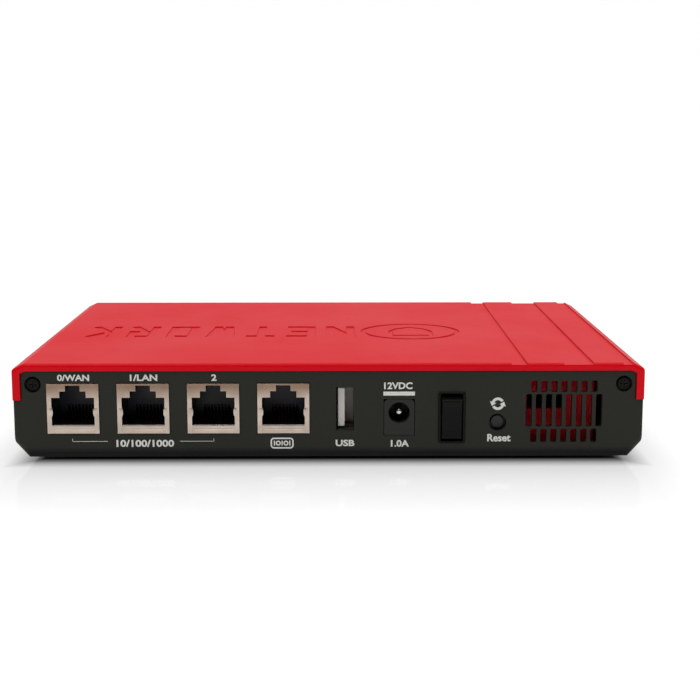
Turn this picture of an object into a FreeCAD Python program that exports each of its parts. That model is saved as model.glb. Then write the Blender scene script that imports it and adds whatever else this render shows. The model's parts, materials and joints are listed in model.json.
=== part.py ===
"""Desktop firewall appliance: a two-part moulded case around one circuit board.

Millimetres, +Z up. The front face looks along -Y, the socket panel along +Y, and the
origin is on the surface the feet stand on, midway between front, back and sides.
Left and right are as seen from the front, so right is +X.
"""
import FreeCAD, Part
import math
import os

os.makedirs("parts", exist_ok=True)
V = FreeCAD.Vector

# ---------------------------------------------------------------- driving dimensions
# Case
case_width = 180.0
case_depth = 128.0
case_height = 27.6
foot_height = 1.4
rocker_proud = 2.0          # how far the rocker stands out past the cover's rear lip
seam_gap = 0.15             # parting line between the cover and the tray

# Top cover
cover_wall = 2.2
bevel_width = 3.3           # bevel along the two long top edges
bevel_height = 1.6
edge_round = 1.0            # rounding of the cover's front and rear top edges
cheek_round = 1.5           # rounding of the front face's lower corners
seam_height = 17.0          # parting line's height above the tray's underside
cheek_base = 8.0            # how far the front wraps round the sides, at the bottom
cheek_top = 18.0            # the same, at the parting line
groove_depth = 0.5          # depth of the stepped bands on top and front
grooves = [(3.2, 6.0), (14.5, 23.0), (33.5, 38.0)]   # from the left edge

# Raised and sunk emblem on top: ring, shield and plain block letters
emblem_radius = 16.0
emblem_stroke = 1.6
emblem_depth = 0.3
emblem_margin = 10.0        # from the last groove to the ring
word_gap = 2.0
word_margin = 9.0           # from the last letter to the right side
word_height = 21.0
word_stroke = 2.6
word_centre_y = 5.0
letter_share = 0.72         # of a letter's pitch, taken up by the letter
shield_share = 0.55         # of the ring's radius, for the shield's half height

# Base tray
base_wall = 2.0
floor_thickness = 1.8
chamfer_width = 3.9
chamfer_height = 4.4
chamfer_follow = 0.4        # of the wall, how far the chamfer's inner corners move
panel_side_round = 0.6
panel_round = 2.0           # rounding of the socket panel's lower outline
rear_recess = 0.6           # the socket panel sits this far inside the cover's lip
hook_width = 10.0
hook_length = 1.1
hook_height = 1.2
hook_spacing = 60.0
hook_lift = 0.4             # from the tray's underside to the hooks
hook_fit = 0.15             # clearance under and over a hook in its slot
floor_slot_width = 2.0
floor_slot_length = 14.0
floor_slot_pitch = 6.0
floor_slot_count = 8
floor_slot_rows = (-14.0, 10.0)

# Feet
foot_radius = 6.0
foot_inset = 16.0
foot_round = 0.6
foot_seat = 0.6             # depth of the seat that each foot is glued into

# Circuit board
standoff_height = 3.2
standoff_radius = 3.0
standoff_side = 4.0         # from the board's side edge
standoff_front = 5.0        # from the board's front edge
standoff_rear_y = 22.0
board_thickness = 1.6
board_side_margin = 6.0
board_front_margin = 4.5
board_rear_gap = 0.4
board_corner = 2.0
board_screw_shank = 2.5
board_screw_head = 4.5
board_screw_head_height = 1.6
board_screw_length = 3.9
screw_cross = 2.4           # length of each slot of the cross recesses
screw_cross_width = 0.5
screw_cross_depth = 0.8
board_screw_clear = 0.2
switch_notch_gap = 0.7      # from the board's notch to the switch body

# Modular jacks
jack_width = 14.8
jack_height = 14.45
jack_depth = 21.0
jack_shield = 0.3
jack_proud = 0.3            # the shields stand out of the socket panel by this much
jack_fit = 0.15
jack_lift = 0.65            # the cans stand this far above the board
plug_width = 12.2
plug_height = 7.95
plug_floor = 2.5            # from the jack's underside to the plug space's floor
plug_depth = 13.5
step_width = 7.5
step_height = 1.85
latch_width = 4.2
latch_height = 3.55
contact_pitch = 1.02
contact_width = 0.46
contact_thickness = 0.3
contact_rise = 2.2
contact_count = 8
contact_sink = 0.5          # the wires' front ends lie this far below the floor
contact_toe = 1.0           # length of their level front ends
contact_end_gap = 0.4       # from a wire's ends to the ends of its groove
mouth_grow = 0.1            # the insert's opening is wider than the can's by this
comb_gap = 0.12             # each side of a wire in its groove
comb_start = 3.0            # from the can's face to the grooves
comb_back = 1.6             # how far they run on behind the plug space
comb_below = 0.8
comb_above = 3.2

# USB socket, standing on edge
usb_thickness = 5.72
usb_height = 13.14
usb_depth = 14.0
usb_shell = 0.3
usb_tongue = 1.84
usb_tongue_width = 11.1
usb_lift = 1.1
usb_behind = 0.1            # gap between the panel's inner face and the shell
usb_tongue_gap = 0.6        # from the shell's right wall to the tongue
usb_bend = 0.9              # outer radius of the shell's edges, in wall thicknesses
usb_tongue_back = 0.6       # from the shell's mouth to the tongue's tip
usb_block = 4.0             # depth of the moulding that fills the shell's back
usb_foot = 2.0              # depth of its foot behind the shell
usb_foot_rise = 4.0         # from the shell's middle up to the foot's top
usb_contact_width = 1.0
usb_contact_proud = 0.15
usb_contact_sink = 0.25
usb_contact_back = 2.0      # from the shell's mouth to the contacts' tips
usb_contact_places = (-3.5, -1.0, 1.0, 3.5)

# DC power jack
dc_width = 8.6
dc_height = 10.4
dc_depth = 14.2
dc_bore = 6.0
dc_bore_depth = 9.5
dc_bore_lift = 6.5          # bore centre above the board
dc_mouth = 0.2              # cone round the bore's mouth
dc_pin = 2.1
dc_pin_dome = 0.8           # rounding of the pin's tip, in pin radii
dc_pin_back = 1.2           # from the panel's face to the pin's tip
dc_round = 1.2              # rounding of the body's upper edges
dc_slot_width = 1.8
dc_slot_depth = 1.0
dc_slot_start = 3.0         # from the panel's face to the spring's slot
dc_slot_run = 0.6           # how far the slot runs on behind the bore
dc_back_wall = 1.0          # behind the pin
dc_spring_width = 1.4
dc_spring_thickness = 0.3
dc_spring_play = 0.2        # from the strip to the ends and floor of its slot
dc_spring_lift = 0.25       # how far its crest stands into the bore

# Power switch
rocker_width = 5.9
rocker_gap_side = 0.25
rocker_opening = 14.0
rocker_gap_end = 0.65
rocker_half_travel = 8.0    # degrees each side of level
rocker_pin = 2.0
rocker_pin_fit = 0.1
rocker_pin_reach = 0.35     # how far the pins enter the frame's walls
rocker_skirt = 0.0          # where the rocker's ends stop, above the hinge line
rocker_heel = 2.6           # how far its underside reaches below the hinge line
rocker_round = 0.7
rocker_pivot_depth = 2.2    # how far the two faces meet above the hinge line
corner_rounds = 8           # refinements of the rocker's corner, each far finer than the last
switch_wall_side = 0.6
switch_wall_end = 0.4
switch_body_width = rocker_width + 2 * (rocker_gap_side + switch_wall_side)
switch_body_height = rocker_opening + 2 * switch_wall_end
bezel_rim = 0.15            # how far the switch's rim overlaps the panel
bezel_width = switch_body_width + 2 * bezel_rim
bezel_height = switch_body_height + 2 * bezel_rim
bezel_thickness = 0.4
bezel_round = 1.2
bezel_chamfer = 0.3
switch_depth = 13.0
switch_back_wall = 1.6
terminal_offsets = (-4.0, 1.0, 5.5)    # from the hinge line, along Z
terminal_width = 2.0
terminal_thickness = 0.5
terminal_step = 2.0         # each blade reaches back farther than the last
switch_floor_gap = 2.55     # from the tray's floor up to the switch body

# Reset button
button_diameter = 3.8
button_gap = 0.6
button_recess = 1.1
button_travel = 1.0
button_length = 6.4
button_flange = 6.4
button_flange_thickness = 1.2
button_round = 0.4
button_dish_radius = 9.0
button_dish_depth = 0.2
button_flange_gap = 0.4     # from the panel's inner face to the flange
reset_lift = 3.7            # button centre above the board
plunger_radius = 1.2
plunger_gap = 0.35
plunger_length = 3.0
reset_switch_size = (6.4, 6.0)
reset_switch_clear = 0.4    # left between cap and switch body at full travel
reset_switch_rise = 3.2     # from the button's centre to the body's top

# Vent
vent_width = 21.9
vent_slots = 8
vent_slot = 1.8
vent_land = 0.6
vent_round = 0.5
vent_top_row = 3.3
vent_bottom_row = 4.0
vent_below = 4.4
vent_above = 3.0
baffle_gap = 5.0            # from the panel to the cover's rib behind the vent
baffle_thickness = 1.5
baffle_overlap = 1.0        # past the slots at the right end
baffle_open = 1.2           # short of the slots at the left end
baffle_floor_gap = 0.5
baffle_window_width = 10.3
baffle_window_height = 4.7
baffle_window_inset = 2.2   # from the rib's right end
baffle_window_drop = 10.1   # from the cover's top to the window
notch_gap = 1.2             # from the board's notch to the rib

# Socket panel layout, from the right side to the left
panel_right_margin = 9.6
panel_left_margin = 11.8
panel_gap_shares = [1.0, 1.0, 1.0, 1.412, 1.604, 1.308, 1.29, 1.056]

# Rear screws and their inserts
rear_screw_shank = 2.5
rear_screw_head = 4.0
rear_screw_head_height = 0.9
rear_screw_sink = 0.4       # the heads sit this far below the panel
rear_screw_length = 8.0
rear_screw_inset = 5.7      # from the side
rear_screw_drop = 6.1       # below the cover's top
insert_radius = 1.9
insert_length = 5.0
screw_boss = 6.4
boss_gap = 0.2              # from the panel's inner face to the bosses
insert_press = 0.02         # play of the inserts in their holes
rear_screw_clear = 0.2      # round the screws' shanks
rear_head_clear = 0.35      # round the screws' heads
rear_head_round = 0.35
rear_cross = 2.3            # length of each slot of the cross recesses
rear_cross_width = 0.55
rear_cross_depth = 0.7
thread_play = 0.03

# Indicators, measured from the right side and above the tray's underside
light_columns = [75.2, 59.9, 52.0, 44.1, 27.9, 19.7]
light_row_low = 10.9
light_row_high = 15.7
pipe_diameter = 2.1
pipe_fit = 0.1
pipe_flush = 0.1
led_size = 1.6
led_height = 0.8
leg_front = 2.6             # from the board's front edge to the first row of lamps
leg_pitch = 5.0
bridge_lift = 1.6           # from the board to the pipes' bridges
bridge_height = 0.9
bridge_half = 0.6
tie_inset = 2.7             # from the end pipes to the ties between the bridges
post_radius = 0.7
post_reach = 2.6            # from the single pipe to its post

# Parts on the board
processor_place = (-18.0, -6.0)
processor_size = 19.0
processor_height = 1.6
pad_margin = 0.5
pad_height = 0.5
sink_size = 40.0
sink_base = 2.0
sink_height = 9.0
sink_notch = 8.0
fin_count = 9
fin_thickness = 1.1
pin_radius = 1.1
pin_inset = 3.2
pin_clear = 0.1
pin_below = 1.2             # how far the push pins stand out under the board
pin_head_radius = 2.6
pin_head_height = 1.4
transformer_size = (12.7, 9.6, 5.6)
transformer_gap = 8.0       # from the jacks' backs to the transformers' middles
inductor_size = (7.0, 7.0, 4.5)
inductor_places = (2.0, -8.0)           # from the DC jack, along X
inductor_gap = 8.0
inductor_chamfer = 1.0
can_places = (-20.0, -29.0, -38.0)      # from the DC jack, along X
can_gap = 14.0
can_radius = 3.15
can_height = 7.7
can_base = 6.6
can_base_height = 1.0
can_round = 0.5
cell_radius = 10.0
cell_height = 3.2
cell_fit = 0.2
cell_round = 0.5
cell_floor = 0.8            # thickness of the holder's floor
holder_wall = 1.2
holder_height = 4.4
holder_mouth = 8.0
clip_width = 6.0
clip_reach = 3.0            # how far the clip lies over the cell
memory_size = (9.0, 13.0, 1.1)
memory_places = ((12.0, -16.0), (12.0, 0.0))
flash_size = (12.0, 10.0, 1.1)
flash_place = (-18.0, -38.0)
switch_chip_size = (14.0, 14.0, 1.0)
switch_chip_place = (44.0, 10.0)
crystal_size = (3.2, 5.0, 1.2)
crystal_places = ((8.0, -30.0), (56.0, 10.0))

# Fits and small allowances
fit = 0.05                  # slip fit between parts of one assembly
root = 0.3                  # how far joined features run into each other
over = 1.0                  # how far cutting shapes run past a face

# ---------------------------------------------------------------- places that follow
bottom_z = foot_height
top_z = bottom_z + case_height
half_case = case_width / 2
lip_y = (case_depth - rocker_proud) / 2
front_y = lip_y - case_depth
panel_y = lip_y - rear_recess
panel_in_y = panel_y - base_wall
seam_z = bottom_z + seam_height
floor_z = bottom_z + floor_thickness
board_z = floor_z + standoff_height
deck_z = board_z + board_thickness
board_x = case_width / 2 - board_side_margin
board_front = front_y + cover_wall + board_front_margin
board_rear = panel_in_y - board_rear_gap
jack_front = panel_y + jack_proud
jack_z = deck_z + jack_lift
jack_rear = jack_front - jack_depth
usb_front = panel_in_y - usb_behind
usb_rear = usb_front - usb_depth
usb_mid_z = deck_z + usb_lift + usb_height / 2


def panel_places():
    """Centres of the jacks, USB, DC jack, switch, reset button and vent along X."""
    widths = [jack_width] * 4 + [usb_thickness, dc_width, bezel_width]
    widths += [button_diameter + 2 * button_gap, vent_width]
    room = case_width - panel_right_margin - panel_left_margin - sum(widths)
    unit = room / sum(panel_gap_shares)
    edge = case_width / 2 - panel_right_margin
    centres = []
    for index, width in enumerate(widths):
        centres.append(edge - width / 2)
        share = panel_gap_shares[index] if index < len(panel_gap_shares) else 0.0
        edge -= width + share * unit
    return centres


*jack_xs, usb_x, dc_x, switch_x, reset_x, vent_x = panel_places()
switch_z = floor_z + switch_floor_gap + switch_body_height / 2
reset_z = deck_z + reset_lift
dc_bore_z = deck_z + dc_bore_lift
switch_back_y = panel_y - switch_depth
screw_x = case_width / 2 - rear_screw_inset
screw_z = top_z - rear_screw_drop


# ---------------------------------------------------------------- solid helpers
def box(x0, x1, y0, y1, z0, z1):
    """A block between two corners."""
    return Part.makeBox(x1 - x0, y1 - y0, z1 - z0, V(x0, y0, z0))


def block(x, y, z0, sx, sy, sz):
    """A block centred on x and y, standing on z0."""
    return box(x - sx / 2, x + sx / 2, y - sy / 2, y + sy / 2, z0, z0 + sz)


def rod_x(x0, x1, y, z, radius):
    return Part.makeCylinder(radius, x1 - x0, V(x0, y, z), V(1, 0, 0))


def rod_y(x, y0, y1, z, radius):
    return Part.makeCylinder(radius, y1 - y0, V(x, y0, z), V(0, 1, 0))


def rod_z(x, y, z0, z1, radius):
    return Part.makeCylinder(radius, z1 - z0, V(x, y, z0), V(0, 0, 1))


def face_of(points):
    """A flat face with straight edges through the points."""
    return Part.Face(Part.makePolygon(points + [points[0]]))


def prism_y(outline, y0, y1):
    """Extrude an outline of (x, z) points along Y."""
    return face_of([V(x, y0, z) for x, z in outline]).extrude(V(0, y1 - y0, 0))


def prism_x(outline, x0, x1):
    """Extrude an outline of (y, z) points along X."""
    return face_of([V(x0, y, z) for y, z in outline]).extrude(V(x1 - x0, 0, 0))


def prism_z(outline, z0, z1):
    """Extrude an outline of (x, y) points along Z."""
    return face_of([V(x, y, z0) for x, y in outline]).extrude(V(0, 0, z1 - z0))


def mirrored(right_side):
    """Close an outline from its right half, listed from the bottom up."""
    return right_side + [(-x, z) for x, z in reversed(right_side)]


def join(solids):
    """Fuse touching solids into one."""
    whole = solids[0]
    if len(solids) > 1:
        whole = whole.multiFuse(solids[1:])
    return whole.removeSplitter()


def cut(solid, tools):
    """Take several tools out of a solid."""
    return solid.cut(Part.makeCompound(tools)) if tools else solid


def edges_at(solid, test):
    """Straight edges whose two ends both pass the test."""
    found = []
    for edge in solid.Edges:
        ends = [vertex.Point for vertex in edge.Vertexes]
        if len(ends) == 2 and all(test(point) for point in ends):
            found.append(edge)
    return found


def save(name, shape):
    """Write one node; a group of separate solids is written as a compound."""
    if isinstance(shape, list):
        shape = Part.makeCompound(shape)
    assert shape.isValid() and shape.Volume > 0, name
    shape.exportStep("parts/" + name + ".step")
    print(name, len(shape.Solids), round(shape.Volume, 1))


# ---------------------------------------------------------------- case outlines
def cover_outline(inset, low_z):
    """The cover's section, moved inwards by a wall thickness, down to low_z."""
    slope = math.atan2(bevel_height, bevel_width)
    bevel_z = top_z - bevel_height - inset * math.tan((math.pi / 2 - slope) / 2)
    bevel_x = half_case - bevel_width - inset * math.tan(slope / 2)
    right = [
        (half_case - inset, low_z),
        (half_case - inset, bevel_z),
        (bevel_x, top_z - inset),
    ]
    return mirrored(right)


def tray_outline(inset, high_z):
    """The tray's section with its chamfered lower edges, open upwards at high_z."""
    low_z = bottom_z + (floor_thickness if inset else 0.0)
    knee_z = bottom_z + chamfer_height
    right = [
        (half_case - chamfer_width - inset * chamfer_follow, low_z),
        (half_case - inset, knee_z + inset * chamfer_follow),
        (half_case - inset, high_z),
    ]
    return mirrored(right)


def cover_region(gap):
    """Side view of the space the cover's sides and front take, grown by a gap."""
    beyond = 5.0
    slope = math.atan2(seam_height, cheek_top - cheek_base)
    shift = gap / math.sin(slope)
    low_z = bottom_z - beyond
    low_y = front_y + cheek_base - beyond * (cheek_top - cheek_base) / seam_height
    corner = (cheek_top - cheek_base) * gap / seam_height
    return [
        (lip_y + beyond, seam_z - gap),
        (front_y + cheek_top + shift - corner, seam_z - gap),
        (low_y + shift, low_z),
        (front_y - beyond, low_z),
        (front_y - beyond, top_z + beyond),
        (lip_y + beyond, top_z + beyond),
    ]


# ---------------------------------------------------------------- top cover
LETTERS = {
    "N": [(0, 0, 0, 1), (0, 1, 1, 0), (1, 0, 1, 1)],
    "E": [(0, 0, 0, 1), (0, 0, 1, 0), (0, 0.5, 0.8, 0.5), (0, 1, 1, 1)],
    "T": [(0, 1, 1, 1), (0.5, 0, 0.5, 1)],
    "W": [(0, 1, 0.22, 0), (0.22, 0, 0.5, 0.7), (0.5, 0.7, 0.78, 0), (0.78, 0, 1, 1)],
    "O": [(0, 0, 0, 1), (0, 1, 1, 1), (1, 1, 1, 0), (1, 0, 0, 0)],
    "R": [(0, 0, 0, 1), (0, 1, 1, 1), (1, 1, 1, 0.5), (1, 0.5, 0, 0.5), (0.4, 0.5, 1, 0)],
    "K": [(0, 0, 0, 1), (0.1, 0.45, 1, 1), (0.25, 0.55, 1, 0)],
}


def stroke(x0, y0, x1, y1, width, z0, z1):
    """A straight stroke with square ends that run on by half its width."""
    length = math.hypot(x1 - x0, y1 - y0)
    ux, uy = (x1 - x0) / length * width / 2, (y1 - y0) / length * width / 2
    a, b = (x0 - ux, y0 - uy), (x1 + ux, y1 + uy)
    outline = [
        (a[0] - uy, a[1] + ux),
        (a[0] + uy, a[1] - ux),
        (b[0] + uy, b[1] - ux),
        (b[0] - uy, b[1] + ux),
    ]
    return prism_z(outline, z0, z1)


def word_cuts(word, left, right, z0, z1):
    """Sunk block letters spread between two places along X."""
    pitch = (right - left) / len(word)
    letter_width = pitch * letter_share - word_stroke
    low = word_centre_y - (word_height - word_stroke) / 2
    tall = word_height - word_stroke
    letters = []
    for index, letter in enumerate(word):
        x = left + index * pitch + word_stroke / 2
        strokes = []
        for x0, y0, x1, y1 in LETTERS[letter]:
            start = (x + x0 * letter_width, low + y0 * tall)
            end = (x + x1 * letter_width, low + y1 * tall)
            strokes.append(stroke(*start, *end, word_stroke, z0, z1))
        letters.append(join(strokes))
    return letters


def shield_outline(x, y, size):
    """A plain heraldic shield: flat top, straight sides, pointed foot."""
    return [
        (x - 0.8 * size, y + size),
        (x - 0.8 * size, y - 0.1 * size),
        (x - 0.55 * size, y - 0.65 * size),
        (x, y - 1.05 * size),
        (x + 0.55 * size, y - 0.65 * size),
        (x + 0.8 * size, y - 0.1 * size),
        (x + 0.8 * size, y + size),
    ]


def emblem_cuts():
    """Sunk ring with a shield in it, and the word beside them."""
    z0, z1 = top_z - emblem_depth, top_z + over
    x = -case_width / 2 + grooves[-1][1] + emblem_margin + emblem_radius
    ring = rod_z(x, word_centre_y, z0, z1, emblem_radius)
    ring = ring.cut(rod_z(x, word_centre_y, z0 - over, z1 + over, emblem_radius - emblem_stroke))
    size = emblem_radius * shield_share
    shield = prism_z(shield_outline(x, word_centre_y, size), z0, z1)
    inner = shield_outline(x, word_centre_y, size - emblem_stroke)
    shield = shield.cut(prism_z(inner, z0 - over, z1 + over))
    left = x + emblem_radius + word_gap
    right = case_width / 2 - word_margin
    return [ring, shield] + word_cuts("NETWORK", left, right, z0, z1)


def groove_cuts():
    """Bands sunk into the top and carried down the front face."""
    tools = []
    for start, end in grooves:
        x0, x1 = -case_width / 2 + start, -case_width / 2 + end
        top = box(x0, x1, front_y - over, lip_y + over, top_z - groove_depth, top_z + over)
        front_end = front_y + groove_depth
        front = box(x0, x1, front_y - over, front_end, bottom_z - over, top_z + over)
        tools.append(join([top, front]))
    return tools


def light_places():
    """Window centres (x, z), each column from the right side, high row first."""
    xs = [case_width / 2 - distance for distance in light_columns]
    low, high = bottom_z + light_row_low, bottom_z + light_row_high
    single = [(xs[0], high)]
    ports = [(x, z) for x in xs[1:4] for z in (high, low)]
    status = [(x, z) for x in xs[4:] for z in (high, low)]
    return single, ports, status


def hook_centres():
    return [-hook_spacing, 0.0, hook_spacing]


def baffle_region():
    """Ends of the rib behind the vent along X and Y."""
    right = vent_x + vent_width / 2 + baffle_overlap
    left = vent_x - vent_width / 2 + baffle_open
    y1 = panel_in_y - baffle_gap
    return left, right, y1 - baffle_thickness, y1


def make_baffle():
    """Rib that hangs from the cover behind the vent and keeps probes off the board."""
    x0, x1, y0, y1 = baffle_region()
    rib = box(x0, x1, y0, y1, floor_z + baffle_floor_gap, top_z - cover_wall + root)
    right = x1 - baffle_window_inset
    high = top_z - baffle_window_drop
    low, left = high - baffle_window_height, right - baffle_window_width
    return rib.cut(box(left, right, y0 - over, y1 + over, low, high))


def make_cover():
    """Red shell: top, front face, front cheeks and the upper half of the sides."""
    outer = prism_y(cover_outline(0.0, bottom_z), front_y, lip_y)

    def on_top_end(point):
        at_end = abs(point.y - front_y) < 1e-6 or abs(point.y - lip_y) < 1e-6
        return at_end and point.z > top_z - bevel_height - 1e-6

    def on_front_side(point):
        low = point.z < top_z - bevel_height + 1e-6
        return abs(point.y - front_y) < 1e-6 and abs(point.x) > bevel_width and low

    ends = edges_at(outer, on_top_end)
    sides = [e for e in edges_at(outer, on_front_side) if e.BoundBox.ZLength > 5]
    outer = outer.makeFillet(edge_round, ends + sides)
    cheeks = [
        edge
        for edge in outer.Edges
        if edge.BoundBox.ZMax < bottom_z + 1e-3 and edge.BoundBox.YLength > case_depth / 2
    ]
    outer = outer.makeFillet(cheek_round, cheeks)
    low_z = bottom_z - over
    cavity = prism_y(cover_outline(cover_wall, low_z), front_y + cover_wall, lip_y + over)
    shell = outer.cut(cavity)
    shell = shell.common(prism_x(cover_region(0.0), -case_width, case_width))

    bosses = []
    wall_x = half_case - cover_wall
    boss_rear = panel_in_y - boss_gap
    boss_front = boss_rear - rear_screw_length
    for side in (-1, 1):
        x0, x1 = sorted((side * (screw_x - screw_boss / 2), side * (wall_x + root)))
        low = screw_z - screw_boss / 2
        bosses.append(box(x0, x1, boss_front, boss_rear, low, top_z - cover_wall + root))
    shell = join([shell, make_baffle()] + bosses)

    tools = groove_cuts() + emblem_cuts()
    for side in (-1, 1):
        insert_hole = (side * screw_x, boss_rear - insert_length - insert_press, boss_rear + over)
        tools.append(rod_y(*insert_hole, screw_z, insert_radius + insert_press))
        shank_hole = (side * screw_x, boss_front - over, boss_rear + over)
        tools.append(rod_y(*shank_hole, screw_z, rear_screw_shank / 2 + rear_screw_clear))
    for group in light_places():
        for x, z in group:
            radius = pipe_diameter / 2 + pipe_fit
            tools.append(rod_y(x, front_y - over, front_y + cover_wall + over, z, radius))
    wall_in = front_y + cover_wall
    low, high = bottom_z + hook_lift - hook_fit, bottom_z + hook_lift + hook_height + hook_fit
    depth, half = hook_length + hook_fit, hook_width / 2 + hook_fit
    for x in hook_centres():
        tools.append(box(x - half, x + half, wall_in - depth, wall_in + over, low, high))
    return cut(shell, tools)


# ---------------------------------------------------------------- base tray
def jack_profile(x, grow):
    """Plug opening of a modular jack: latch slot, step and plug space."""
    z0 = jack_z + plug_floor
    levels = [
        (plug_width / 2, z0 + plug_height),
        (step_width / 2, z0 + plug_height + step_height),
        (latch_width / 2, z0 + plug_height + latch_height),
    ]
    right = [(levels[0][0] + grow, z0 - grow)]
    for index, (half, z) in enumerate(levels):
        right.append((half + grow, z + grow))
        if index + 1 < len(levels):
            right.append((levels[index + 1][0] + grow, z + grow))
    return [(x + px, z) for px, z in mirrored(right)]


def vent_cuts():
    """Three rows of upright slots; the outer rows sit half a pitch aside."""
    low = bottom_z + vent_below
    high = top_z - cover_wall - vent_above
    pitch = (vent_width - vent_slot) / (vent_slots - 1)
    rows = [
        (vent_slots, low + vent_bottom_row + vent_land, high - vent_top_row - vent_land),
        (vent_slots - 1, low, low + vent_bottom_row),
        (vent_slots - 1, high - vent_top_row, high),
    ]
    tools = []
    for count, z0, z1 in rows:
        first = vent_x - (count - 1) * pitch / 2
        for index in range(count):
            x = first + index * pitch
            half = vent_slot / 2
            slot = box(x - half, x + half, panel_in_y - over, panel_y + over, z0, z1)
            corners = [e for e in slot.Edges if e.BoundBox.YLength > base_wall]
            tools.append(slot.makeFillet(vent_round, corners))
    return tools


def panel_cuts():
    """Everything that passes through the socket panel."""
    y0, y1 = panel_in_y - over, panel_y + over
    tools = []
    for x in jack_xs:
        half = jack_width / 2 + jack_fit
        low, high = jack_z - jack_fit, jack_z + jack_height + jack_fit
        tools.append(box(x - half, x + half, y0, y1, low, high))
    tools.append(usb_box(usb_shell, y0, y1))
    half = dc_width / 2 + jack_fit
    low, high = deck_z - jack_fit, deck_z + dc_height + jack_fit
    tools.append(box(dc_x - half, dc_x + half, y0, y1, low, high))
    tools.append(switch_block(switch_body_width / 2 + fit, switch_body_height / 2 + fit, y0, y1))
    tools.append(rod_y(reset_x, y0, y1, reset_z, button_diameter / 2 + button_gap))
    for side in (-1, 1):
        tools.append(rod_y(side * screw_x, y0, y1, screw_z, rear_screw_shank / 2 + rear_screw_clear))
        seat = panel_y - rear_screw_sink - rear_screw_head_height
        tools.append(rod_y(side * screw_x, seat, y1, screw_z, rear_screw_head / 2 + rear_head_clear))
    return tools + vent_cuts()


def standoff_places():
    """Centres of the six standoffs, front to rear on each side."""
    x = board_x - standoff_side
    middle = (board_front + standoff_front + standoff_rear_y) / 2
    ys = (board_front + standoff_front, middle, standoff_rear_y)
    return [(side * x, y) for side in (-1, 1) for y in ys]


def foot_places():
    x, y = case_width / 2 - foot_inset, case_depth / 2 - foot_inset
    middle = (front_y + lip_y) / 2
    return {
        "front_left": (-x, middle - y),
        "front_right": (x, middle - y),
        "rear_left": (-x, middle + y),
        "rear_right": (x, middle + y),
    }


def floor_slots():
    """Two rows of air slots in the floor."""
    tools = []
    tall = floor_thickness + 2 * over
    for y in floor_slot_rows:
        first = -(floor_slot_count - 1) * floor_slot_pitch / 2
        for index in range(floor_slot_count):
            x = first + index * floor_slot_pitch
            tools.append(block(x, y, bottom_z - over, floor_slot_width, floor_slot_length, tall))
    return tools


def make_tray():
    """Charcoal floor, lower sides and the full-height socket panel."""
    high_z = seam_z - seam_gap
    start_y = front_y + cover_wall + seam_gap
    body = prism_y(tray_outline(0.0, high_z), start_y, panel_y)

    def on_panel_outline(point):
        return abs(point.y - panel_y) < 1e-6 and point.z < high_z + 1e-6

    outline = [e for e in edges_at(body, on_panel_outline) if e.BoundBox.ZMin < high_z - 1e-3]
    low_edges = [e for e in outline if e.BoundBox.ZMax < bottom_z + chamfer_height + 1e-3]
    body = body.makeFillet(panel_round, low_edges)

    def on_panel_side(edge):
        bounds = edge.BoundBox
        tall = bounds.ZLength > chamfer_height and bounds.XLength < 1e-3
        return tall and bounds.YMin > panel_y - 1e-3

    body = body.makeFillet(panel_side_round, [e for e in body.Edges if on_panel_side(e)])
    hollow = prism_y(tray_outline(base_wall, high_z + over), start_y - over, panel_in_y)
    body = body.cut(hollow)
    region = prism_x(cover_region(seam_gap), -case_width, case_width)
    inner = half_case - cover_wall - seam_gap
    middle = box(-inner, inner, -case_depth, case_depth, -case_height, floor_z)
    body = body.cut(region.cut(middle))
    upper = prism_y(cover_outline(cover_wall + seam_gap, high_z - root), panel_in_y, panel_y)
    solids = [body, upper]
    for x, y in standoff_places():
        solids.append(rod_z(x, y, floor_z - root, board_z, standoff_radius))
    low, half = bottom_z + hook_lift, hook_width / 2
    tip_y = start_y - seam_gap - hook_length
    for x in hook_centres():
        solids.append(box(x - half, x + half, tip_y, start_y + over, low, low + hook_height))
    tray = join(solids)
    tools = panel_cuts() + floor_slots()
    radius = board_screw_shank / 2 + fit
    for x, y in standoff_places():
        tools.append(rod_z(x, y, board_z - board_screw_length, board_z + over, radius))
    for x, y in foot_places().values():
        tools.append(rod_z(x, y, bottom_z - over, bottom_z + foot_seat, foot_radius + fit))
    return cut(tray, tools)


# ---------------------------------------------------------------- circuit board
def make_board():
    """Circuit board with notches round the switch and the cover's rib, and its holes."""
    board = box(-board_x, board_x, board_front, board_rear, board_z, deck_z)
    corners = edges_at(board, lambda p: abs(abs(p.x) - board_x) < 1e-6)
    board = board.makeFillet(board_corner, [e for e in corners if e.BoundBox.ZLength > over])
    low, high, rear = board_z - over, deck_z + over, board_rear + over
    half = switch_body_width / 2 + switch_notch_gap
    start = switch_back_y - switch_notch_gap
    tools = [box(switch_x - half, switch_x + half, start, rear, low, high)]
    x0, x1, y0, _ = baffle_region()
    tools.append(box(x0 - notch_gap, x1 + notch_gap, y0 - notch_gap, rear, low, high))
    for x, y in standoff_places():
        tools.append(rod_z(x, y, low, high, board_screw_shank / 2 + board_screw_clear))
    for x, y in heatsink_pin_places():
        tools.append(rod_z(x, y, low, high, pin_radius + pin_clear))
    return cut(board, tools)


def make_board_screws():
    """Pan-head screws with a cross recess, one in each standoff."""
    screws = []
    top = deck_z + board_screw_head_height
    foot = board_z - board_screw_length + root
    seat = top - screw_cross_depth
    for x, y in standoff_places():
        shank = rod_z(x, y, foot, deck_z, board_screw_shank / 2)
        head = rod_z(x, y, deck_z, top, board_screw_head / 2)
        cross = []
        for sx, sy in ((screw_cross, screw_cross_width), (screw_cross_width, screw_cross)):
            cross.append(block(x, y, seat, sx, sy, screw_cross_depth + over))
        screws.append(cut(join([shank, head]), cross))
    return screws


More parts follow.
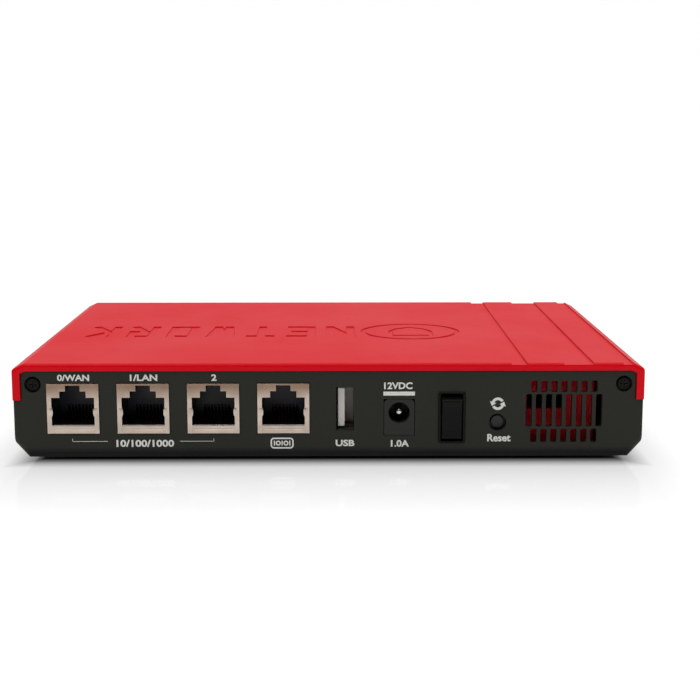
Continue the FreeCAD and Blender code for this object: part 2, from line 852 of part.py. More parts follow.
# ---------------------------------------------------------------- modular jacks
def make_jack_shield(x):
    """Folded metal can: front face with the plug opening, sides, top and back."""
    half = jack_width / 2
    top = jack_z + jack_height
    outer = box(x - half, x + half, jack_rear, jack_front, jack_z, top)
    t = jack_shield
    hollow = box(x - half + t, x + half - t, jack_rear + t, jack_front - t, deck_z - over, top - t)
    mouth = prism_y(jack_profile(x, 0.0), jack_front - over, jack_front + over)
    return cut(outer, [hollow, mouth])


def make_jack_insert(x):
    """Moulded housing inside the can, with the plug space and a comb for the contacts."""
    gap = jack_shield + fit
    half = jack_width / 2 - gap
    top = jack_z + jack_height - gap
    body = box(x - half, x + half, jack_rear + gap, jack_front - gap, jack_z, top)
    foot_end = panel_in_y - jack_fit
    foot = box(x - half, x + half, jack_rear + gap, foot_end, deck_z, jack_z + root)
    body = join([body, foot])
    mouth = prism_y(jack_profile(x, mouth_grow), jack_front - plug_depth, jack_front + over)
    tools = [mouth]
    z0 = jack_z + plug_floor
    half = contact_width / 2 + comb_gap
    y0, y1 = jack_front - plug_depth - comb_back, jack_front - comb_start
    for cx in contact_places(x):
        tools.append(box(cx - half, cx + half, y0, y1, z0 - comb_below, z0 + comb_above))
    return cut(body, tools)


def contact_places(x):
    """Middles of a jack's contacts along X."""
    first = x - (contact_count - 1) * contact_pitch / 2
    return [first + index * contact_pitch for index in range(contact_count)]


def make_jack_contacts(x):
    """Eight spring wires that rise from the front of the floor to the back."""
    z0 = jack_z + plug_floor - contact_sink
    y_front = jack_front - comb_start - contact_end_gap
    y_back = jack_front - plug_depth - comb_back + contact_end_gap
    t = contact_thickness
    outline = [
        (y_front, z0),
        (y_front, z0 + t),
        (y_front - contact_toe, z0 + t),
        (y_back, z0 + t + contact_rise),
        (y_back, z0 + contact_rise),
        (y_front - contact_toe, z0),
    ]
    half = contact_width / 2
    return [prism_x(outline, cx - half, cx + half) for cx in contact_places(x)]


# ---------------------------------------------------------------- USB socket
def usb_box(inset, y0, y1):
    """The USB shell's section, moved inwards, between two places along Y."""
    z0 = deck_z + usb_lift
    half = usb_thickness / 2 - inset
    return box(usb_x - half, usb_x + half, y0, y1, z0 + inset, z0 + usb_height - inset)


def make_usb_shell():
    """Square tube with its outer long edges rounded by the bend."""
    shell = usb_box(0.0, usb_rear, usb_front)
    shell = shell.cut(usb_box(usb_shell, usb_rear - over, usb_front + over))

    def outer_long(edge):
        away = abs(edge.BoundBox.Center.x - usb_x)
        return edge.BoundBox.YLength > usb_depth - 1e-3 and abs(away - usb_thickness / 2) < 1e-3

    return shell.makeFillet(usb_shell * usb_bend, [e for e in shell.Edges if outer_long(e)])


def usb_tongue_face():
    """Place of the tongue's right side along X."""
    return usb_x + usb_thickness / 2 - usb_shell - usb_tongue_gap


def make_usb_tongue():
    """Moulded block that fills the shell's back, with the tongue and a foot on the board."""
    inset = usb_shell + fit
    back = usb_box(inset, usb_rear, usb_rear + usb_block)
    right = usb_tongue_face()
    half = usb_tongue_width / 2
    z0, z1 = usb_mid_z - half, usb_mid_z + half
    start, tip = usb_rear + usb_block - root, usb_front - usb_tongue_back
    tongue = box(right - usb_tongue, right, start, tip, z0, z1)
    half = usb_thickness / 2 - inset
    high = usb_mid_z + usb_foot_rise
    foot = box(usb_x - half, usb_x + half, usb_rear - usb_foot, usb_rear - fit, deck_z, high)
    low = usb_mid_z - usb_foot_rise
    link = box(usb_x - half, usb_x + half, usb_rear - usb_foot / 2, usb_rear + root, low, high)
    return cut(join([back, tongue, foot, link]), usb_contact_bars(fit))


def usb_contact_bars(grow):
    """Four flat contacts let into the tongue's left face."""
    face_x = usb_tongue_face() - usb_tongue
    x0, x1 = face_x - usb_contact_proud, face_x + usb_contact_sink + grow
    y0 = usb_rear + usb_block + usb_contact_proud - grow
    y1 = usb_front - usb_contact_back + grow
    half = usb_contact_width / 2 + grow
    middles = [usb_mid_z + offset for offset in usb_contact_places]
    return [box(x0, x1, y0, y1, z - half, z + half) for z in middles]


# ---------------------------------------------------------------- DC jack
def make_dc_body():
    """Moulded body with the bore, the pin's hole and the slot for the side contact."""
    front, rear = panel_y, panel_y - dc_depth
    half = dc_width / 2
    body = box(dc_x - half, dc_x + half, rear, front, deck_z, deck_z + dc_height)
    upper = [e for e in body.Edges if e.BoundBox.ZMin > deck_z + over]
    body = body.makeFillet(dc_round, [e for e in upper if e.BoundBox.YLength > dc_depth - 1e-3])
    bore = rod_y(dc_x, front - dc_bore_depth, front + over, dc_bore_z, dc_bore / 2)
    wide = dc_bore / 2 + dc_mouth
    start = V(dc_x, front - dc_mouth, dc_bore_z)
    mouth = Part.makeCone(dc_bore / 2, wide, dc_mouth, start, V(0, 1, 0))
    pin_hole = rod_y(dc_x, rear + dc_back_wall, front, dc_bore_z, dc_pin / 2 + fit)
    half = dc_slot_width / 2
    low = dc_bore_z - dc_bore / 2 - dc_slot_depth
    y0, y1 = front - dc_bore_depth - dc_slot_run, front - dc_slot_start
    slot = box(dc_x - half, dc_x + half, y0, y1, low, dc_bore_z)
    return cut(body, [bore, mouth, pin_hole, slot])


def make_dc_pin():
    """Centre pin with a domed tip."""
    tip_y = panel_y - dc_pin_back
    pin = rod_y(dc_x, panel_y - dc_depth + dc_back_wall, tip_y, dc_bore_z, dc_pin / 2)
    tip = [e for e in pin.Edges if abs(e.BoundBox.YMin - tip_y) < 1e-6]
    return pin.makeFillet(dc_pin / 2 * dc_pin_dome, tip)


def make_dc_spring():
    """Side contact: a thin sprung strip in the slot below the bore."""
    y0 = panel_y - dc_bore_depth - dc_slot_run + dc_spring_play
    y1 = panel_y - dc_slot_start - dc_spring_play
    z = dc_bore_z - dc_bore / 2
    low = z - dc_slot_depth + dc_spring_play
    outline = [
        (y0, low),
        (y1, low),
        (y1, low + dc_spring_thickness),
        ((y0 + y1) / 2, z + dc_spring_lift),
        (y0, low + dc_spring_thickness),
    ]
    half = dc_spring_width / 2
    return prism_x(outline, dc_x - half, dc_x + half)


# ---------------------------------------------------------------- power switch
def rocker_corner():
    """Half length and height of the level rocker's end, from the swing it must clear."""
    swing = math.radians(rocker_half_travel)
    reach = rocker_opening / 2 - rocker_gap_end
    height = rocker_pivot_depth + reach * math.tan(swing)
    for _ in range(corner_rounds):
        half = (reach - height * math.sin(swing)) / math.cos(swing)
        height = rocker_pivot_depth + half * math.tan(swing)
    return half, height


def rocker_pivot_y():
    """Hinge line, placed so the proud end reaches its set distance past the lip."""
    half, height = rocker_corner()
    swing = math.radians(rocker_half_travel)
    reach = height * math.cos(swing) + half * math.sin(swing)
    return lip_y + rocker_proud - reach


pivot_y = rocker_pivot_y()


def switch_block(half_x, half_z, y0, y1):
    """A block round the switch's axis, between two places along Y."""
    x0, x1 = switch_x - half_x, switch_x + half_x
    return box(x0, x1, y0, y1, switch_z - half_z, switch_z + half_z)


def make_switch_frame():
    """Frame with its rim on the panel and a pocket for the rocker."""
    rim_y = panel_y + bezel_thickness
    rim = switch_block(bezel_width / 2, bezel_height / 2, panel_y, rim_y)
    corners = [e for e in rim.Edges if e.BoundBox.YLength > bezel_thickness - 1e-3]
    rim = rim.makeFillet(bezel_round, corners)
    front_edges = [e for e in rim.Edges if e.BoundBox.YMin > rim_y - 1e-6]
    rim = rim.makeChamfer(bezel_chamfer, front_edges)
    body_end = panel_y + fit
    body = switch_block(switch_body_width / 2, switch_body_height / 2, switch_back_y, body_end)
    frame = join([rim, body])
    half_x = rocker_width / 2 + rocker_gap_side
    floor_y = switch_back_y + switch_back_wall
    pocket = switch_block(half_x, rocker_opening / 2, floor_y, lip_y + rocker_proud)
    reach = half_x + rocker_pin_reach + rocker_pin_fit
    radius = rocker_pin / 2 + rocker_pin_fit
    holes = rod_x(switch_x - reach, switch_x + reach, pivot_y, switch_z, radius)
    half_x, half_z = terminal_width / 2 + fit, terminal_thickness / 2 + fit
    y0, y1 = switch_back_y - over, floor_y + over
    legs = []
    for z in terminal_heights():
        legs.append(box(switch_x - half_x, switch_x + half_x, y0, y1, z - half_z, z + half_z))
    return cut(frame, [pocket, holes] + legs)


def make_rocker():
    """Rocker in the off position: its upper half stands proud."""
    half, height = rocker_corner()
    x0 = switch_x - rocker_width / 2
    outline = [
        (-half, height),
        (-half, rocker_skirt),
        (-rocker_heel, -rocker_heel),
        (rocker_heel, -rocker_heel),
        (half, rocker_skirt),
        (half, height),
    ]
    points = [V(x0, pivot_y + v, switch_z + u) for u, v in outline]
    middle = V(x0, pivot_y + rocker_pivot_depth, switch_z)
    dish = Part.Arc(points[-1], middle, points[0]).toShape()
    wire = Part.Wire(Part.makePolygon(points).Edges + [dish])
    rocker = Part.Face(wire).extrude(V(rocker_width, 0, 0))

    def outer_edge(edge):
        return edge.BoundBox.YMin > pivot_y + rocker_skirt + 1e-3

    def level(edge):
        return edge.BoundBox.XLength > over or edge.BoundBox.ZLength > over

    edges = [e for e in rocker.Edges if outer_edge(e) and level(e)]
    rocker = rocker.makeFillet(rocker_round, edges)
    reach = rocker_width / 2 + rocker_gap_side + rocker_pin_reach
    pin = rod_x(switch_x - reach, switch_x + reach, pivot_y, switch_z, rocker_pin / 2)
    rocker = join([rocker, pin])
    rocker.rotate(V(switch_x, pivot_y, switch_z), V(1, 0, 0), -rocker_half_travel)
    return rocker


def terminal_heights():
    return [switch_z + offset for offset in terminal_offsets]


def make_switch_terminals():
    """Three blades that leave the frame's back and turn down to the board."""
    blades = []
    half_x, half_z = terminal_width / 2, terminal_thickness / 2
    x0, x1 = switch_x - half_x, switch_x + half_x
    tip_y = switch_back_y + switch_back_wall - fit
    for index, z in enumerate(terminal_heights()):
        back = switch_back_y - terminal_step * (index + 1)
        flat = box(x0, x1, back, tip_y, z - half_z, z + half_z)
        leg = box(x0, x1, back, back + terminal_thickness, deck_z, z + half_z)
        blades.append(join([flat, leg]))
    return blades


# ---------------------------------------------------------------- reset button
button_front = panel_y - button_recess
button_rear = button_front - button_length


def make_reset_button():
    """Round cap with a dished face and a flange that keeps it behind the panel."""
    cap = rod_y(reset_x, button_rear, button_front, reset_z, button_diameter / 2)
    rim = [e for e in cap.Edges if e.BoundBox.YMin > button_front - 1e-6]
    cap = cap.makeFillet(button_round, rim)
    flange_y = panel_in_y - button_flange_gap
    flange_back = flange_y - button_flange_thickness
    flange = rod_y(reset_x, flange_back, flange_y, reset_z, button_flange / 2)
    button = join([cap, flange])
    centre_y = button_front + button_dish_radius - button_dish_depth
    return button.cut(Part.makeSphere(button_dish_radius, V(reset_x, centre_y, reset_z)))


def make_reset_plunger():
    """Plunger of the tactile switch, pushed by the cap."""
    return rod_y(reset_x, button_rear - plunger_length, button_rear, reset_z, plunger_radius)


def make_reset_switch():
    """Tactile switch body lying on the board behind the cap."""
    wide, deep = reset_switch_size
    front = button_rear - button_travel - reset_switch_clear
    body = block(reset_x, front - deep / 2, deck_z, wide, deep, reset_lift + reset_switch_rise)
    bore_end = button_rear - plunger_length - button_travel - reset_switch_clear
    return body.cut(rod_y(reset_x, bore_end, front + over, reset_z, plunger_radius + plunger_gap))


# ---------------------------------------------------------------- indicators
low_leg_y = board_front + leg_front
high_leg_y = low_leg_y + leg_pitch


def leg_y(z):
    low = z < bottom_z + (light_row_low + light_row_high) / 2
    return low_leg_y if low else high_leg_y


def make_light_pipe(windows):
    """Clear pipes from the board's lamps to the windows, joined by a bridge and posts."""
    radius = pipe_diameter / 2
    solids = []
    for x, z in windows:
        y = leg_y(z)
        solids.append(rod_y(x, front_y + pipe_flush, y, z, radius))
        solids.append(rod_z(x, y, deck_z + led_height + fit, z, radius))
        solids.append(Part.makeSphere(radius, V(x, y, z)))
    xs = [x for x, z in windows]
    low = deck_z + bridge_lift
    high = low + bridge_height
    if len(windows) == 1:
        x, y = xs[0], leg_y(windows[0][1])
        solids.append(box(x, x + post_reach, y - bridge_half, y + bridge_half, low, high))
        solids.append(rod_z(x + post_reach, y, deck_z, high, post_radius))
        return join(solids)
    for y in (low_leg_y, high_leg_y):
        solids.append(box(min(xs), max(xs), y - bridge_half, y + bridge_half, low, high))
    for x in (min(xs) + tie_inset, max(xs) - tie_inset):
        solids.append(box(x - post_radius, x + post_radius, low_leg_y, high_leg_y, low, high))
        middle = (low_leg_y + high_leg_y) / 2
        solids.append(rod_z(x, middle, deck_z, low + root, post_radius))
    return join(solids)


def make_leds():
    single, ports, status = light_places()
    places = single + ports + status
    return [block(x, leg_y(z), deck_z, led_size, led_size, led_height) for x, z in places]


# ---------------------------------------------------------------- chips and power parts
def heatsink_pin_places():
    x, y = processor_place
    reach = sink_size / 2 - pin_inset
    return [(x - reach, y + reach), (x + reach, y - reach)]


def make_heatsink():
    """Square base with parallel fins, notched at two corners for the push pins."""
    x, y = processor_place
    z0 = deck_z + processor_height + pad_height
    base = block(x, y, z0, sink_size, sink_size, sink_base)
    pitch = (sink_size - fin_thickness) / (fin_count - 1)
    solids = [base]
    for index in range(fin_count):
        fx = x - sink_size / 2 + fin_thickness / 2 + index * pitch
        tall = sink_height - sink_base + root
        solids.append(block(fx, y, z0 + sink_base - root, fin_thickness, sink_size, tall))
    sink = join(solids)
    tools = []
    for px, py in heatsink_pin_places():
        tools.append(block(px, py, z0 + sink_base, sink_notch, sink_notch, sink_height))
        tools.append(rod_z(px, py, z0 - over, z0 + sink_base + over, pin_radius + pin_clear))
    return cut(sink, tools)


def make_heatsink_pins():
    """Two push pins through the heatsink's base and the board."""
    pins = []
    z_seat = deck_z + processor_height + pad_height + sink_base
    for x, y in heatsink_pin_places():
        shank = rod_z(x, y, board_z - pin_below, z_seat, pin_radius)
        head = rod_z(x, y, z_seat, z_seat + pin_head_height, pin_head_radius)
        pins.append(join([shank, head]))
    return pins


def make_transformers():
    return [block(x, jack_rear - transformer_gap, deck_z, *transformer_size) for x in jack_xs[:3]]


def make_inductors():
    """Square power inductors with chamfered corners."""
    parts = []
    y = panel_y - dc_depth - inductor_gap
    for offset in inductor_places:
        coil = block(dc_x + offset, y, deck_z, *inductor_size)
        corners = [e for e in coil.Edges if e.BoundBox.ZLength > inductor_size[2] - 1e-3]
        parts.append(coil.makeChamfer(inductor_chamfer, corners))
    return parts


def make_capacitors():
    """Three electrolytic cans on their moulded bases."""
    cans = []
    y = panel_y - dc_depth - can_gap
    for offset in can_places:
        x = dc_x + offset
        base = block(x, y, deck_z, can_base, can_base, can_base_height)
        can = rod_z(x, y, deck_z + can_base_height - root, deck_z + can_height, can_radius)
        top = [e for e in can.Edges if e.BoundBox.ZMin > deck_z + can_height - 1e-3]
        cans.append(join([base, can.makeFillet(can_round, top)]))
    return cans


cell_x = (-board_x + processor_place[0] - sink_size / 2) / 2
cell_y = (standoff_places()[1][1] + standoff_rear_y) / 2
cell_place = (cell_x, cell_y)


def make_cell_holder():
    """Round tray with a sprung bar over the clock battery."""
    x, y = cell_place
    seat, high = deck_z + cell_floor, deck_z + holder_height
    radius = cell_radius + cell_fit
    holder = rod_z(x, y, deck_z, high, radius + holder_wall)
    holder = holder.cut(rod_z(x, y, seat, high + over, radius))
    half = holder_mouth / 2
    mouth = box(x - half, x + half, y - 2 * cell_radius, y, seat, high + over)
    holder = holder.cut(mouth)
    half = clip_width / 2
    y0, y1 = y + cell_radius - clip_reach, y + radius + holder_wall / 2
    clip = box(x - half, x + half, y0, y1, seat + cell_height + fit, high)
    return join([holder, clip])


def make_cell():
    """Lithium coin cell with its rolled edge."""
    x, y = cell_place
    seat = deck_z + cell_floor
    body = rod_z(x, y, seat, seat + cell_height, cell_radius)
    rim = [e for e in body.Edges if e.BoundBox.ZLength < 1e-6]
    return body.makeFillet(cell_round, rim)


# ---------------------------------------------------------------- fixings and feet
def make_rear_screws():
    """Cross-head screws seated in the panel's round recesses."""
    screws = []
    for side in (-1, 1):
        x = side * screw_x
        face_y = panel_y - rear_screw_sink
        head_y = face_y - rear_screw_head_height
        shank = rod_y(x, head_y - rear_screw_length, head_y, screw_z, rear_screw_shank / 2)
        head = rod_y(x, head_y, face_y, screw_z, rear_screw_head / 2)
        rim = [e for e in head.Edges if e.BoundBox.YMin > face_y - 1e-6]
        head = head.makeFillet(rear_head_round, rim)
        cross = []
        seat = face_y - rear_cross_depth
        for wide, tall in ((rear_cross, rear_cross_width), (rear_cross_width, rear_cross)):
            low, left = screw_z - tall / 2, x - wide / 2
            cross.append(box(left, left + wide, seat, panel_y + over, low, low + tall))
        screws.append(cut(join([shank, head]), cross))
    return screws


def make_inserts():
    """Brass inserts pressed into the cover's bosses."""
    inserts = []
    rear = panel_in_y - boss_gap
    radius = rear_screw_shank / 2 + thread_play
    for side in (-1, 1):
        outer = rod_y(side * screw_x, rear - insert_length, rear, screw_z, insert_radius)
        bore = rod_y(side * screw_x, rear - insert_length - over, rear + over, screw_z, radius)
        inserts.append(outer.cut(bore))
    return inserts


def make_foot(x, y):
    """Rubber disc with a rounded lower rim."""
    foot = rod_z(x, y, 0.0, bottom_z + foot_seat, foot_radius)
    rim = [e for e in foot.Edges if e.BoundBox.ZMax < 1e-6]
    return foot.makeFillet(foot_round, rim)


# ---------------------------------------------------------------- write every node
save("top_cover", make_cover())
save("base_tray", make_tray())
save("main_board", make_board())
save("board_screws", make_board_screws())
for name, jack_x in zip(("wan", "lan_1", "lan_2", "console"), jack_xs):
    save("jack_shield_" + name, make_jack_shield(jack_x))
    save("jack_insert_" + name, make_jack_insert(jack_x))
    save("jack_contacts_" + name, make_jack_contacts(jack_x))
save("usb_shell", make_usb_shell())
save("usb_tongue", make_usb_tongue())
save("usb_contacts", usb_contact_bars(0.0))
save("dc_jack_body", make_dc_body())
save("dc_jack_pin", make_dc_pin())
save("dc_jack_spring", make_dc_spring())
save("switch_frame", make_switch_frame())
save("power_rocker", make_rocker())
save("switch_terminals", make_switch_terminals())
save("reset_button", make_reset_button())
save("reset_plunger", make_reset_plunger())
save("reset_switch_body", make_reset_switch())
for name, windows in zip(("failover", "ports", "status"), light_places()):
    save("light_pipe_" + name, make_light_pipe(windows))
save("indicator_leds", make_leds())
chip_side, pad_side = processor_size, processor_size - 2 * pad_margin
save("processor", block(*processor_place, deck_z, chip_side, chip_side, processor_height))
pad_z = deck_z + processor_height
save("thermal_pad", block(*processor_place, pad_z, pad_side, pad_side, pad_height))
save("heatsink", make_heatsink())
save("heatsink_pins", make_heatsink_pins())
save("memory_chips", [block(*place, deck_z, *memory_size) for place in memory_places])
save("flash_chip", block(*flash_place, deck_z, *flash_size))
save("switch_chip", block(*switch_chip_place, deck_z, *switch_chip_size))
save("crystals", [block(*place, deck_z, *crystal_size) for place in crystal_places])
save("network_transformers", make_transformers())
save("power_inductors", make_inductors())
save("bulk_capacitors", make_capacitors())
save("clock_cell_holder", make_cell_holder())
save("clock_cell", make_cell())
save("rear_screws", make_rear_screws())
save("threaded_inserts", make_inserts())
for name, (foot_x, foot_y) in foot_places().items():
    save("foot_" + name, make_foot(foot_x, foot_y))
# Places of the joints and mounts
print("hinge", switch_x, pivot_y, switch_z)
print("reset", reset_x, button_front, reset_z)
print("jacks", jack_xs, usb_x, dc_x, vent_x)
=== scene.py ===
import json
import logging
import math
from dataclasses import dataclass, field
from enum import Enum

import bmesh
import bpy
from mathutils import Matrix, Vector


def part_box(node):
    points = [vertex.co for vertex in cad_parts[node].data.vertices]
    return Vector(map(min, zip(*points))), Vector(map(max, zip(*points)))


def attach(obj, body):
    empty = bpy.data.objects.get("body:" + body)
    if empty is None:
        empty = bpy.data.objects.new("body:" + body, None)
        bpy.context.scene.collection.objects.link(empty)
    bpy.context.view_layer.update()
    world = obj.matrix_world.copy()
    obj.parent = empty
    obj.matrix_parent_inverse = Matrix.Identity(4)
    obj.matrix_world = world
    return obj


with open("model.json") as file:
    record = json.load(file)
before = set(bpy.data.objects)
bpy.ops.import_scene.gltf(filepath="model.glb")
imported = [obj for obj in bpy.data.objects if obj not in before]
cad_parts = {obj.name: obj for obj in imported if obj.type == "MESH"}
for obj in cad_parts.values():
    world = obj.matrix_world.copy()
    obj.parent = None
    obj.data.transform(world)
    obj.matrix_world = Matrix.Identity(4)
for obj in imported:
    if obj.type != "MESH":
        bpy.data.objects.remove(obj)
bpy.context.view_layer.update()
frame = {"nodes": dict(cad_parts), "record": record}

MM = 0.001
ROOT = "case"
log = logging.getLogger("firewall_appliance")
Point = tuple[float, float]
Span = tuple[float, float]
Tree = bpy.types.NodeTree
Socket = bpy.types.NodeSocket
Shape = bmesh.types.BMesh

# Nearly all of a noise's values lie in here.
NOISE_SPAN = (0.3, 0.7)
# How far a bevelled normal agrees with its face where an edge starts to look rubbed, and
# where it is rubbed through.
EDGE_SPAN = (0.99, 0.8)
# Settings of the nodes that mix two colours and that multiply two values.
COLOURS = {"data_type": "RGBA"}
PRODUCT = {"operation": "MULTIPLY"}
# The lowest roughness that any finish drifts to.
SMOOTHEST = 0.03
# Degrees in one straight piece of an arc.
ARC_STEP = 9.0


def linear(code: str) -> tuple[float, float, float, float]:
    """Turn an sRGB hex colour into the linear values that shaders take.

    Args:
        code: Six hex digits, with or without a leading hash.

    Returns:
        Linear red, green, blue and an alpha of one.
    """
    parts = [int(code.lstrip("#")[i : i + 2], 16) / 255 for i in (0, 2, 4)]
    curve = [c / 12.92 if c <= 0.04045 else ((c + 0.055) / 1.055) ** 2.4 for c in parts]
    return (*curve, 1.0)


def add_node(
    tree: Tree,
    kind: str,
    settings: dict[str, object] | None = None,
    sockets: dict[str | int, object] | None = None,
) -> bpy.types.Node:
    """Add a node with its settings and its links.

    Args:
        tree: The node tree that gets it.
        kind: The node's Blender type.
        settings: Attributes to set on the node.
        sockets: Input sockets, each with a plain value or the output that feeds it.

    Returns:
        The new node.
    """
    node = tree.nodes.new(kind)
    for name, value in (settings or {}).items():
        setattr(node, name, value)
    for name, value in (sockets or {}).items():
        if isinstance(value, Socket):
            tree.links.new(value, node.inputs[name])
        else:
            node.inputs[name].default_value = value
    return node


def bare_tree(owner: bpy.types.Material | bpy.types.World) -> Tree:
    """Turn nodes on for a new material or world.

    Args:
        owner: The material or world.

    Returns:
        Its node tree, emptied.
    """
    owner.use_nodes = True
    owner.node_tree.nodes.clear()
    return owner.node_tree


# ------------------------------------------------------------------ finishes
@dataclass(frozen=True)
class Finish:
    """A real material: its colours, its gloss and the fine relief its making leaves.

    Attributes:
        name: What the material is called in the scene.
        colour: Main colour, sRGB hex.
        shade: Second colour that the first one drifts to, sRGB hex.
        rubbed: Colour along handled edges, sRGB hex.
        roughness: Middle of the roughness range.
        spread: How far the roughness drifts each way.
        metallic: One for bare metal, else zero.
        ior: Refractive index, which stays at the default on a metal.
        drift_mm: Size of the slow patches in colour and gloss.
        grain_mm: Size of the fine relief.
        depth_mm: Height of the fine relief.
        edge_mm: Radius that sharp edges seem to be broken to.
        wear: How much of the rubbed colour shows on the edges.
        painted_shade: Colour of the painted shade that height brings in, sRGB hex.
        painted_shade_span: Heights in millimetres where the painted shade starts and is complete,
            if it happens.
    """

    name: str
    colour: str
    shade: str
    rubbed: str
    roughness: float
    spread: float = 0.05
    metallic: float = 0.0
    ior: float = 1.5
    drift_mm: float = 18.0
    grain_mm: float = 0.6
    depth_mm: float = 0.01
    edge_mm: float = 0.2
    wear: float = 0.35
    painted_shade: str = "#000000"
    painted_shade_span: tuple[float, float] | None = None

    def place(self, tree: Tree) -> Socket:
        """Give the coordinates the patterns are drawn in, in metres on the object."""
        return add_node(tree, "ShaderNodeTexCoord").outputs["Object"]

    def relief(self, tree: Tree, place: Socket) -> Socket:
        """Give the height of the fine relief, from zero to one, at each place."""
        sockets = {"Vector": place, "Scale": 1 / (self.grain_mm * MM), "Detail": 2.0}
        return add_node(tree, "ShaderNodeTexNoise", None, sockets).outputs["Fac"]

    def tint(self, tree: Tree, place: Socket, drift: Socket) -> Socket:
        """Give the colour before any wear, from the place and the slow noise there."""
        sockets = {0: drift, 6: linear(self.colour), 7: linear(self.shade)}
        return add_node(tree, "ShaderNodeMix", COLOURS, sockets).outputs[2]

    def paint_shade(self, tree: Tree, place: Socket, colour: Socket) -> Socket:
        """Paint shade into the colour with height, where the finish has a span for it.

        Args:
            tree: The material's node tree.
            place: Coordinates in metres.
            colour: The colour without the change.

        Returns:
            The colour with it.
        """
        if not self.painted_shade_span:
            return colour
        # Painted shade: the colour darkens over a span of heights, whatever the lamps do.
        height = add_node(tree, "ShaderNodeSeparateXYZ", None, {0: place}).outputs["Z"]
        first, last = (level * MM for level in self.painted_shade_span)
        ends = {"Value": height, "From Min": first, "From Max": last}
        amount = add_node(tree, "ShaderNodeMapRange", None, ends).outputs["Result"]
        sockets = {0: amount, 6: colour, 7: linear(self.painted_shade)}
        return add_node(tree, "ShaderNodeMix", COLOURS, sockets).outputs[2]

    def adjust(self, shader: bpy.types.Node) -> None:
        """Set what only this kind of finish needs on the shader's own sockets."""

    def build(self) -> bpy.types.Material:
        """Make the material.

        Returns:
            The finished material, which all pieces of this finish share.
        """
        known = bpy.data.materials.get(self.name)
        if known:
            return known
        material = bpy.data.materials.new(self.name)
        tree = bare_tree(material)
        place = self.place(tree)
        patches = {"Vector": place, "Scale": 1 / (self.drift_mm * MM), "Detail": 3.0}
        drift = add_node(tree, "ShaderNodeTexNoise", None, patches).outputs["Fac"]
        spread = {
            "Value": drift,
            "From Min": NOISE_SPAN[0],
            "From Max": NOISE_SPAN[1],
            "To Min": max(self.roughness - self.spread, SMOOTHEST),
            "To Max": min(self.roughness + self.spread, 1.0),
        }
        roughness = add_node(tree, "ShaderNodeMapRange", None, spread).outputs["Result"]
        bevel = add_node(tree, "ShaderNodeBevel", {"samples": 4}, {"Radius": self.edge_mm * MM})
        facing = add_node(tree, "ShaderNodeNewGeometry").outputs["Normal"]
        turned = {0: bevel.outputs["Normal"], 1: facing}
        dot = add_node(tree, "ShaderNodeVectorMath", {"operation": "DOT_PRODUCT"}, turned)
        rub = {
            "Value": dot.outputs["Value"],
            "From Min": EDGE_SPAN[0],
            "From Max": EDGE_SPAN[1],
            "To Max": self.wear,
        }
        edge = add_node(tree, "ShaderNodeMapRange", None, rub).outputs["Result"]
        # The tint with painted shade by height, where the finish has a span for it.
        base = self.paint_shade(tree, place, self.tint(tree, place, drift))
        colours = {0: edge, 6: base, 7: linear(self.rubbed)}
        worn = add_node(tree, "ShaderNodeMix", COLOURS, colours)
        bump = {
            "Height": self.relief(tree, place),
            "Distance": self.depth_mm * MM,
            "Normal": bevel.outputs["Normal"],
        }
        normal = add_node(tree, "ShaderNodeBump", None, bump).outputs["Normal"]
        sockets = {
            "Base Color": worn.outputs[2],
            "Roughness": roughness,
            "Normal": normal,
            "Metallic": self.metallic,
            "IOR": self.ior,
        }
        shader = add_node(tree, "ShaderNodeBsdfPrincipled", None, sockets)
        self.adjust(shader)
        add_node(tree, "ShaderNodeOutputMaterial", None, {"Surface": shader.outputs["BSDF"]})
        return material


@dataclass(frozen=True)
class MouldedPlastic(Finish):
    """Injection-moulded plastic: an even colour over the mould's spark-eroded grain.

    Attributes:
        gloss: Strength of its mirror-like part, 0.5 for a plain plastic of its IOR.
        glow: Weight of the light that enters the plastic and comes out near by.
        coat: Weight of the clear skin that a polished mould gives.
    """

    gloss: float = 0.5
    glow: float = 0.0
    coat: float = 0.0

    def adjust(self, shader: bpy.types.Node) -> None:
        """Let a little light into the plastic and give it its skin.

        Args:
            shader: The material's shader node.
        """
        shader.inputs["Specular IOR Level"].default_value = self.gloss
        shader.inputs["Subsurface Weight"].default_value = self.glow
        shader.inputs["Subsurface Radius"].default_value = (1.0, 0.15, 0.1)
        shader.inputs["Subsurface Scale"].default_value = 1.2 * MM
        shader.inputs["Coat Weight"].default_value = self.coat
        shader.inputs["Coat Roughness"].default_value = 0.12


@dataclass(frozen=True)
class RolledSheet(Finish):
    """Plated or drawn metal: long fine lines left by the rolls along one axis.

    Attributes:
        along: How much longer the lines are than they are wide, along X, Y and Z.
    """

    along: tuple[float, float, float] = (30.0, 1.0, 1.0)

    def relief(self, tree: Tree, place: Socket) -> Socket:
        """Stretch the grain into rolling lines.

        Args:
            tree: The material's node tree.
            place: Coordinates in metres.

        Returns:
            A height from zero to one.
        """
        shrink = tuple(1 / length for length in self.along)
        mapping = add_node(tree, "ShaderNodeMapping", None, {"Vector": place, "Scale": shrink})
        sockets = {"Vector": mapping.outputs[0], "Scale": 1 / (self.grain_mm * MM), "Detail": 3.0}
        return add_node(tree, "ShaderNodeTexNoise", None, sockets).outputs["Fac"]


